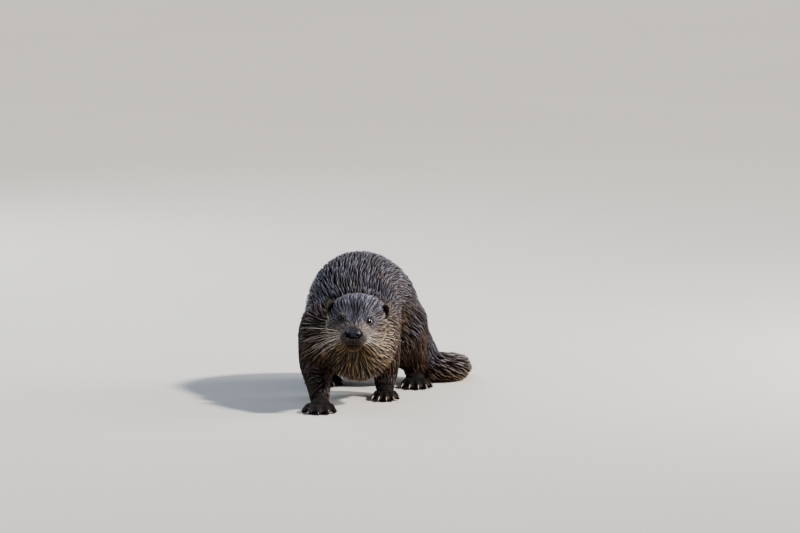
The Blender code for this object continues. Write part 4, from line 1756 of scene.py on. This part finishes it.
@dataclass
class Eyes:
    """The two eyeballs, flatter in front than a ball, as what shows of an eye is."""

    pose: Pose
    across: float = 0.0063  # half its width
    along: float = 0.0037  # half its length, the way that it looks
    forward: float = 0.0011  # how far its middle lies before the socket's

    def build(self) -> None:
        """Makes an eyeball on each side."""
        material = EyeFinish().material()
        for side, centre, aim in self.pose.eyes():
            bm = bmesh.new()
            radius = self.pose.eye_radius
            bmesh.ops.create_uvsphere(bm, u_segments=64, v_segments=40, radius=radius)
            name = "left" if side > 0 else "right"
            mesh = as_mesh(bm, "eye")
            away = unit(places_of(mesh))
            ahead = dot(away, aim[None])
            angle = np.arccos(np.clip(ahead, -1.0, 1.0))
            away = away * self.across
            away = away + aim * (ahead * (self.along - self.across) + self.forward)[:, None]
            places = self.pose.from_head(away + centre) + self.pose.offset
            set_places(mesh, places)
            paint(mesh, "from_pupil", angle / math.pi * 2.0)
            mesh.shade_smooth()
            finished(f"eyeball_{name}", mesh, material, "eye", f"eye_{name}")


@dataclass
class Nose:
    """The bare nose pad with its two nostrils."""

    pose: Pose
    nostril: tuple[float, float] = (0.0066, -0.0014)
    groove: float = 0.0009
    squareness: float = 2.7  # 2 for a ball, more for a squarer form

    def build(self) -> None:
        """Makes the nose."""
        bm = bmesh.new()
        bmesh.ops.create_uvsphere(bm, u_segments=128, v_segments=88, radius=1.0)
        quarter = Matrix.Rotation(math.pi / 2, 3, "X")
        bmesh.ops.rotate(bm, cent=(0, 0, 0), matrix=quarter, verts=bm.verts)
        mesh = as_mesh(bm, "nose")
        ball = places_of(mesh)
        square = (np.abs(ball) ** self.squareness).sum(1) ** (-1.0 / self.squareness)
        ball = ball * (0.35 + 0.65 * square)[:, None]
        x, y, z = ball.T
        local = ball * np.array(self.pose.nose_radii) * (0.94, 0.92, 0.97)
        local[:, 0] *= 1.0 - 0.30 * ramp(-z, 0.0, 1.0)
        dip = bell(local[:, 0], 0.0030)
        shoulder = ramp(np.abs(local[:, 0]), 0.0075, 0.0125)
        local[:, 2] -= (0.0011 * dip + 0.0022 * shoulder) * ramp(z, 0.0, 0.9)
        local[:, 1] += 0.0020 * ramp(z, 0.2, 1.0)
        front = ramp(-y, 0.0, 0.45)
        hollow = np.zeros(len(local))
        for side in (-1, 1):
            dx = (local[:, 0] - side * self.nostril[0]) * side
            dz = local[:, 2] - self.nostril[1]
            opening = (dx / 0.0025) ** 2 + (dz / 0.0019) ** 2
            slit = ((dx - 0.0030) / 0.0034) ** 2 + ((dz - 0.10 * dx - 0.0002) / 0.0009) ** 2
            hollow = np.maximum(hollow, np.exp(-(opening**1.6)))
            hollow = np.maximum(hollow, 0.95 * np.exp(-(slit**1.6)))
            wing = np.exp(-(((dx - 0.0006) / 0.0038) ** 2) - ((dz - 0.0031) / 0.0015) ** 2)
            lobe = np.exp(-(((dx - 0.0010) / 0.0034) ** 2) - ((dz + 0.0032) / 0.0013) ** 2)
            local[:, 1] -= (0.0009 * wing + 0.0005 * lobe) * front
        hollow *= front
        local[:, 1] += 0.0036 * hollow
        middle = bell(local[:, 0], 0.0007) * ramp(-local[:, 2], -0.0025, 0.002)
        local[:, 1] += self.groove * middle * front
        places = self.pose.from_head(local + np.array(self.pose.nose_place))
        set_places(mesh, places + self.pose.offset)
        # The hollow marks the nostrils and the groove, which the finish paints near black as shade
        paint(mesh, "hollow", np.clip(hollow * 1.3 + 0.5 * middle * front, 0.0, 1.0))
        mesh.shade_smooth()
        finished("nose", mesh, NoseFinish().material(), "nose_skin", "nose_pad")


@dataclass
class Ears:
    """The two small round ears: shallow cups, close to the head, with furred rims."""

    pose: Pose
    radii: Triple = (0.0074, 0.0036, 0.0094)
    inward: Triple = (-0.0045, 0.0010, -0.0010)
    turn: Triple = (-10.0, 12.0, -44.0)
    dish: float = 0.0044
    hairs: int = 1500
    tuft: Tuft = Tuft()

    # Colours of the cup's back and its hollow (painted shade), and of the hair on the back and at
    # the rim (painted highlight)
    cup_tones: tuple[Row, ...] = ((0.040, 0.028, 0.020), (0.006, 0.005, 0.005))
    root_tone: Row = (0.024, 0.017, 0.013)
    middle_tones: tuple[Row, ...] = ((0.070, 0.050, 0.038), (0.12, 0.10, 0.087))
    tip_tones: tuple[Row, ...] = ((0.140, 0.110, 0.095), (0.28, 0.24, 0.205))

    def build(self) -> None:
        """Makes an ear on each side, with the fur on its rim and back."""
        skin = SkinFinish(name="ear_skin").material()
        fur = CoatFinish(name="ear_hair").material()
        for side in (-1, 1):
            name = "left" if side > 0 else "right"
            bm = bmesh.new()
            bmesh.ops.create_uvsphere(bm, u_segments=48, v_segments=32, radius=1.0)
            if side < 0:
                bmesh.ops.reverse_faces(bm, faces=bm.faces)
            mesh = as_mesh(bm, "ear")
            ball = places_of(mesh)
            away = np.hypot(ball[:, 0], ball[:, 2])
            shape = ball * np.array(self.radii)
            front = ramp(-ball[:, 1], 0.0, 0.30)
            shape[:, 1] += self.dish * (1.0 - ramp(away, 0.10, 0.88)) * front
            places = self._placed(shape, side)
            set_places(mesh, places + self.pose.offset)
            inside = front * (1.0 - ramp(away, 0.55, 0.92))
            # The cup's hollow is painted near black: painted shade inside the cup
            paint(mesh, "tone", blend(*np.array(self.cup_tones)[:, None], inside))
            paint(mesh, "bare", 0.3 * inside)
            mesh.shade_smooth()
            finished(f"ear_cup_{name}", mesh, skin, "fur", f"ear_{name}")
            self._hair(name, side, fur)

    def _placed(self, shape: np.ndarray, side: int) -> np.ndarray:
        """Turns a left ear's shape into its place in the pose frame; side mirrors it."""
        turn = Euler([math.radians(angle) for angle in self.turn]).to_matrix()
        local = shape @ np.array(turn).T + np.array(self.pose.ear_place) + np.array(self.inward)
        local[:, 0] *= side
        return self.pose.from_head(local)

    def _hair(self, name: str, side: int, material: bpy.types.Material) -> None:
        """Covers an ear's back and rim with short hair, with a painted highlight on the upper,
        outer part of the rim.
        """
        random = np.random.default_rng(SEED + 3 + side)
        turn = random.random(self.hairs) * 2 * math.pi
        lean = random.random(self.hairs) ** 1.5
        ring = np.column_stack((np.cos(turn), np.zeros(self.hairs), np.sin(turn)))
        out = np.cos(lean * 1.5)[:, None] * ring
        out[:, 1] = np.sin(lean * 1.5) - 0.34 * (lean < 0.35)
        out = unit(out)
        radial = np.hypot(out[:, 0], out[:, 2])
        keep = (out[:, 2] > -0.7) & (radial > 0.25)
        out, ring, lean = out[keep], ring[keep], lean[keep]
        count = len(out)
        root = out * np.array(self.radii) * 0.96
        chance = random.random((count, 4))
        way = unit(ring * 0.40 + np.array([0.34, 0.50, 0.62]) + 0.34 * (chance[:, :3] - 0.5))
        length = 0.0030 + 0.0026 * chance[:, 3]
        across = unit(np.cross(way, out))
        middle = root + way * (0.5 * length)[:, None] + out * 0.0005
        tip = root + way * length[:, None] + out * 0.0004
        corners = self.tuft.spikes(
            root - out * 0.0003, middle, tip, across, out, np.full(count, 0.00075)
        )
        placed = self._placed(corners.reshape(-1, 3), side).reshape(corners.shape)
        rim = ramp(lean, 0.30, 0.05)[:, None]
        light = (0.35 + 1.1 * random.random(count) ** 1.6)[:, None]
        tones = np.empty((count, TUFT_CORNERS, 3))
        tones[:, 0:3] = self.root_tone
        # Painted highlight: the rim's hairs are lighter on its upper, outer side
        high = rim[:, 0] * ramp(ring[:, 2] + 0.5 * ring[:, 0], -0.3, 0.8)
        middle_tone = blend(*np.array(self.middle_tones)[:, None], high)
        tones[:, 3:6] = (middle_tone * light)[:, None]
        tones[:, 6] = blend(*np.array(self.tip_tones)[:, None], high) * light
        spots = 0.5 + out[:, [0, 2]] * 0.45
        mesh = self.tuft.mesh("hair", placed + self.pose.offset, tones, spots, flip=side < 0)
        finished(f"ear_hair_{name}", mesh, material, "fur")


@dataclass
class Whiskers:
    """The stiff bristles of the muzzle, the brows and the cheeks."""

    pose: Pose
    radius: float = 0.00028
    steps: int = 10  # points along a bristle

    def build(self) -> None:
        """Makes all the whiskers as one piece."""
        curve = bpy.data.curves.new("whiskers", "CURVE")
        curve.dimensions = "3D"
        curve.bevel_depth = self.radius
        curve.bevel_resolution = 1
        curve.use_fill_caps = True
        random = np.random.default_rng(SEED + 7)
        for side in (-1, 1):
            for row in range(4):
                for column in range(4):
                    self._bristle(curve, random, side, row, column)
            for number in range(2):
                root = np.array([side * (0.0200 + 0.003 * number), 0.034, 0.0240])
                way = unit(np.array([side * (0.45 + 0.35 * number), 0.30, 0.62]))
                self._hair(curve, root, way, 0.013 + 0.003 * number, 0.003, 0.35)
            cheek = np.array([side * 0.0330, 0.048, -0.0060])
            way = unit(np.array([side * 0.9, 0.25, -0.30]))
            self._hair(curve, cheek, way, 0.026, 0.006, 0.6)
        holder = linked("whiskers_curve", curve)
        bpy.context.view_layer.update()
        mesh = bpy.data.meshes.new_from_object(holder)
        bpy.data.objects.remove(holder)
        bm = bmesh.new()
        bm.from_mesh(mesh)
        bmesh.ops.remove_doubles(bm, verts=bm.verts, dist=1e-6)
        bm.to_mesh(mesh)
        bm.free()
        mesh.shade_smooth()
        finished("whiskers", mesh, WhiskerFinish().material(), "claw")

    def _bristle(
        self, curve: bpy.types.Curve, random: np.random.Generator, side: int, row: int, column: int
    ) -> None:
        """Adds one bristle of the whisker pads' rows."""
        chance = random.random(5) - 0.5
        back = 0.0090 + 0.0060 * column + 0.0012 * chance[0]
        up = -0.0040 - 0.0033 * row + 0.0008 * chance[1]
        root = np.array([side * (0.0125 + 0.0032 * column), back, up])
        swept = 0.02 + 0.10 * column + 0.18 * chance[2]
        rise = 0.10 - 0.20 * row + 0.14 * chance[3]
        way = unit(np.array([side * (1.0 - 0.05 * column), swept, rise]))
        length = 0.034 + 0.0092 * column - 0.003 * abs(row - 1.5)
        if side < 0:
            length *= 1.25
        droop = 0.010 + 0.010 * (0.5 + chance[4])
        self._hair(curve, root, way, length * (1.0 + 0.25 * chance[0]), droop, 1.0)

    def _hair(
        self,
        curve: bpy.types.Curve,
        root: np.ndarray,
        way: np.ndarray,
        length: float,
        droop: float,
        thickness: float,
    ) -> None:
        """Adds one tapered hair.

        Args:
            curve: The curve that holds the hairs.
            root: Its root, in the head's frame.
            way: The way that it leaves the skin, in the head's frame.
            length: Its length.
            droop: How far its tip sinks below that way and swings back.
            thickness: Its width, as a share of the curve's.
        """
        spline = curve.splines.new("POLY")
        spline.points.add(self.steps - 1)
        for index in range(self.steps):
            share = index / (self.steps - 1)
            bend = droop * share * share
            local = root - way * 0.004 * (1 - share) + way * length * share
            local = local + np.array([0.0, 0.6 * bend, -bend])
            place = self.pose.from_head(local[None])[0] + self.pose.offset
            spline.points[index].co = (*place, 1.0)
            spline.points[index].radius = thickness * (1.0 - 0.72 * share)


@dataclass
class Claws:
    """The twenty claws."""

    pose: Pose
    rings: int = 9
    radius: float = 0.0019

    def build(self) -> None:
        """Makes every claw."""
        material = ClawFinish().material()
        for paw in PAW_NAMES:
            frame = Matrix.Translation(self.pose.shift) @ self.pose.paw_matrix(paw)
            for index in range(len(self.pose.toe_fan)):
                tip, heading = self.pose.toe(paw, index)
                mesh = self._claw(tip, heading)
                mesh.transform(frame)
                node = f"claw_{paw}_{index + 1}"
                finished(f"horn_{paw}_{index + 1}", mesh, material, "claw", node)

    def _claw(self, tip: Vector, heading: Vector) -> bpy.types.Mesh:
        """A claw in the paw's frame, rooted in a toe's tip and curving down.

        Args:
            tip: The toe's tip.
            heading: The way that the toe points.

        Returns:
            Its mesh, with how far along it each point lies.
        """
        pose = self.pose
        root = tip - heading * 0.0030 + Vector((0, 0, 0.0028))
        across = heading.cross(Vector((0, 0, 1)))
        bm = bmesh.new()
        ring = bmesh.ops.create_circle(bm, cap_ends=True, segments=14, radius=1.0)["verts"]
        basis = Matrix((across, Vector((0, 0, 1)), -heading)).transposed()
        bmesh.ops.rotate(bm, cent=(0, 0, 0), matrix=basis, verts=ring)
        bmesh.ops.scale(bm, vec=Vector((1, 1, 1)) * self.radius, verts=ring)
        bmesh.ops.translate(bm, vec=root, verts=ring)
        face = list(bm.faces)
        spots = {vertex: 0.0 for vertex in ring}
        before = root
        size = 1.0
        for step in range(1, self.rings + 1):
            share = step / self.rings
            centre = root + heading * (pose.claw_length * 1.02 * share)
            centre = centre - Vector((0, 0, pose.claw_drop * share**1.8))
            grown = bmesh.ops.extrude_discrete_faces(bm, faces=face)
            face = grown["faces"]
            verts = list(face[0].verts)
            new_size = (1.0 - 0.86 * share**1.6) * (1.0 + 0.12 * math.sin(math.pi * share))
            bmesh.ops.translate(bm, vec=centre - before, verts=verts)
            for vertex in verts:
                vertex.co = centre + (vertex.co - centre) * (new_size / size)
                spots[vertex] = share
            before, size = centre, new_size
        bmesh.ops.recalc_face_normals(bm, faces=bm.faces)
        for vertex in bm.verts:
            offset = (vertex.co - root).dot(across)
            vertex.co -= across * offset * 0.35
        along = np.array([spots.get(vertex, 0.0) for vertex in bm.verts])
        mesh = as_mesh(bm, "claw")
        paint(mesh, "along", along)
        mesh.shade_smooth()
        return mesh


# ---------------------------------------------------------------- studio


@dataclass
class Studio:
    """A pale floor, soft light and the camera."""

    pose: Pose
    distance: float = 14.22
    lens: float = 400.0
    elevation: float = 8.0
    aim: Vector = field(default_factory=lambda: Vector((0.072, 0.100, 0.2098)))
    floor_size: float = 60.0

    def build(self) -> None:
        """Makes the floor, the lights and the camera."""
        bm = bmesh.new()
        bmesh.ops.create_grid(bm, x_segments=1, y_segments=1, size=self.floor_size / 2)
        mesh = as_mesh(bm, "floor")
        mesh.materials.append(FloorFinish().material())
        floor = linked("floor", mesh)
        world = bpy.data.worlds.new("studio")
        world.use_nodes = True
        sky = world.node_tree.nodes["Background"]
        sky.inputs["Color"].default_value = (0.92, 0.95, 1.0, 1.0)
        sky.inputs["Strength"].default_value = 0.22
        bpy.context.scene.world = world
        self._sun((1.0, -0.24, 0.86), 4.6, 5.0, (1.0, 0.93, 0.84))
        self._lamp("sky", (-0.7, 0.1, 2.3), (2.0, 2.0), 11.5, (0.46, 0.68, 1.0))
        self._lamp("fill", (-1.5, -1.5, 0.8), (1.2, 1.2), 1.3, (0.95, 0.97, 1.0))
        self._lamp("side", (1.60, 0.35, 0.70), (0.52, 1.15), 23.0, (1.0, 0.95, 0.88))
        self._lamp("back", (-1.1, 1.7, 1.2), (1.4, 1.4), 16.0, (0.92, 0.96, 1.0))
        bpy.context.scene.view_settings.look = "AgX - Medium High Contrast"
        self._camera()

    def _sun(self, way: Triple, strength: float, width: float, colour: Triple) -> None:
        """Adds the main light, which comes from far off along way."""
        lamp = bpy.data.lights.new("key", "SUN")
        lamp.energy = strength
        lamp.angle = math.radians(width)
        lamp.color = colour
        holder = linked("key", lamp)
        holder.rotation_euler = (-Vector(way)).to_track_quat("-Z", "Y").to_euler()

    def _lamp(
        self,
        name: str,
        place: Triple,
        size: tuple[float, float],
        power: float,
        colour: Triple,
    ) -> None:
        """Adds a soft light of a width and height that looks at the animal."""
        lamp = bpy.data.lights.new(name, "AREA")
        lamp.shape = "RECTANGLE"
        lamp.size, lamp.size_y = size
        lamp.energy = power
        lamp.color = colour
        holder = linked(name, lamp)
        holder.location = place
        way = Vector((0.0, 0.0, 0.12)) - holder.location
        holder.rotation_euler = way.to_track_quat("-Z", "Y").to_euler()

    def _camera(self) -> None:
        """Adds the camera, far off with a long lens."""
        lens = bpy.data.cameras.new("camera")
        lens.lens = self.lens
        lens.sensor_width = 36.0
        lens.clip_end = 200.0
        camera = linked("camera", lens)
        lift = math.radians(self.elevation)
        back = Vector((0.0, -math.cos(lift), math.sin(lift)))
        camera.location = self.aim + self.pose.shift + back * self.distance
        camera.rotation_euler = (-back).to_track_quat("-Z", "Y").to_euler()
        bpy.context.scene.camera = camera


def main() -> None:
    """Builds the otter and its studio."""
    logging.basicConfig(level=logging.INFO, format="%(name)s %(message)s")
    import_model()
    pose = Pose()
    grooming = Grooming(pose)
    skin_maker = Skin(pose, grooming)
    skin = skin_maker.build()
    Eyes(pose).build()
    Nose(pose).build()
    Ears(pose).build()
    Claws(pose).build()
    Coat(pose, grooming, skin, skin_maker).build()
    Whiskers(pose).build()
    Studio(pose).build()
    bpy.context.view_layer.update()


if __name__ == "__main__":
    main()
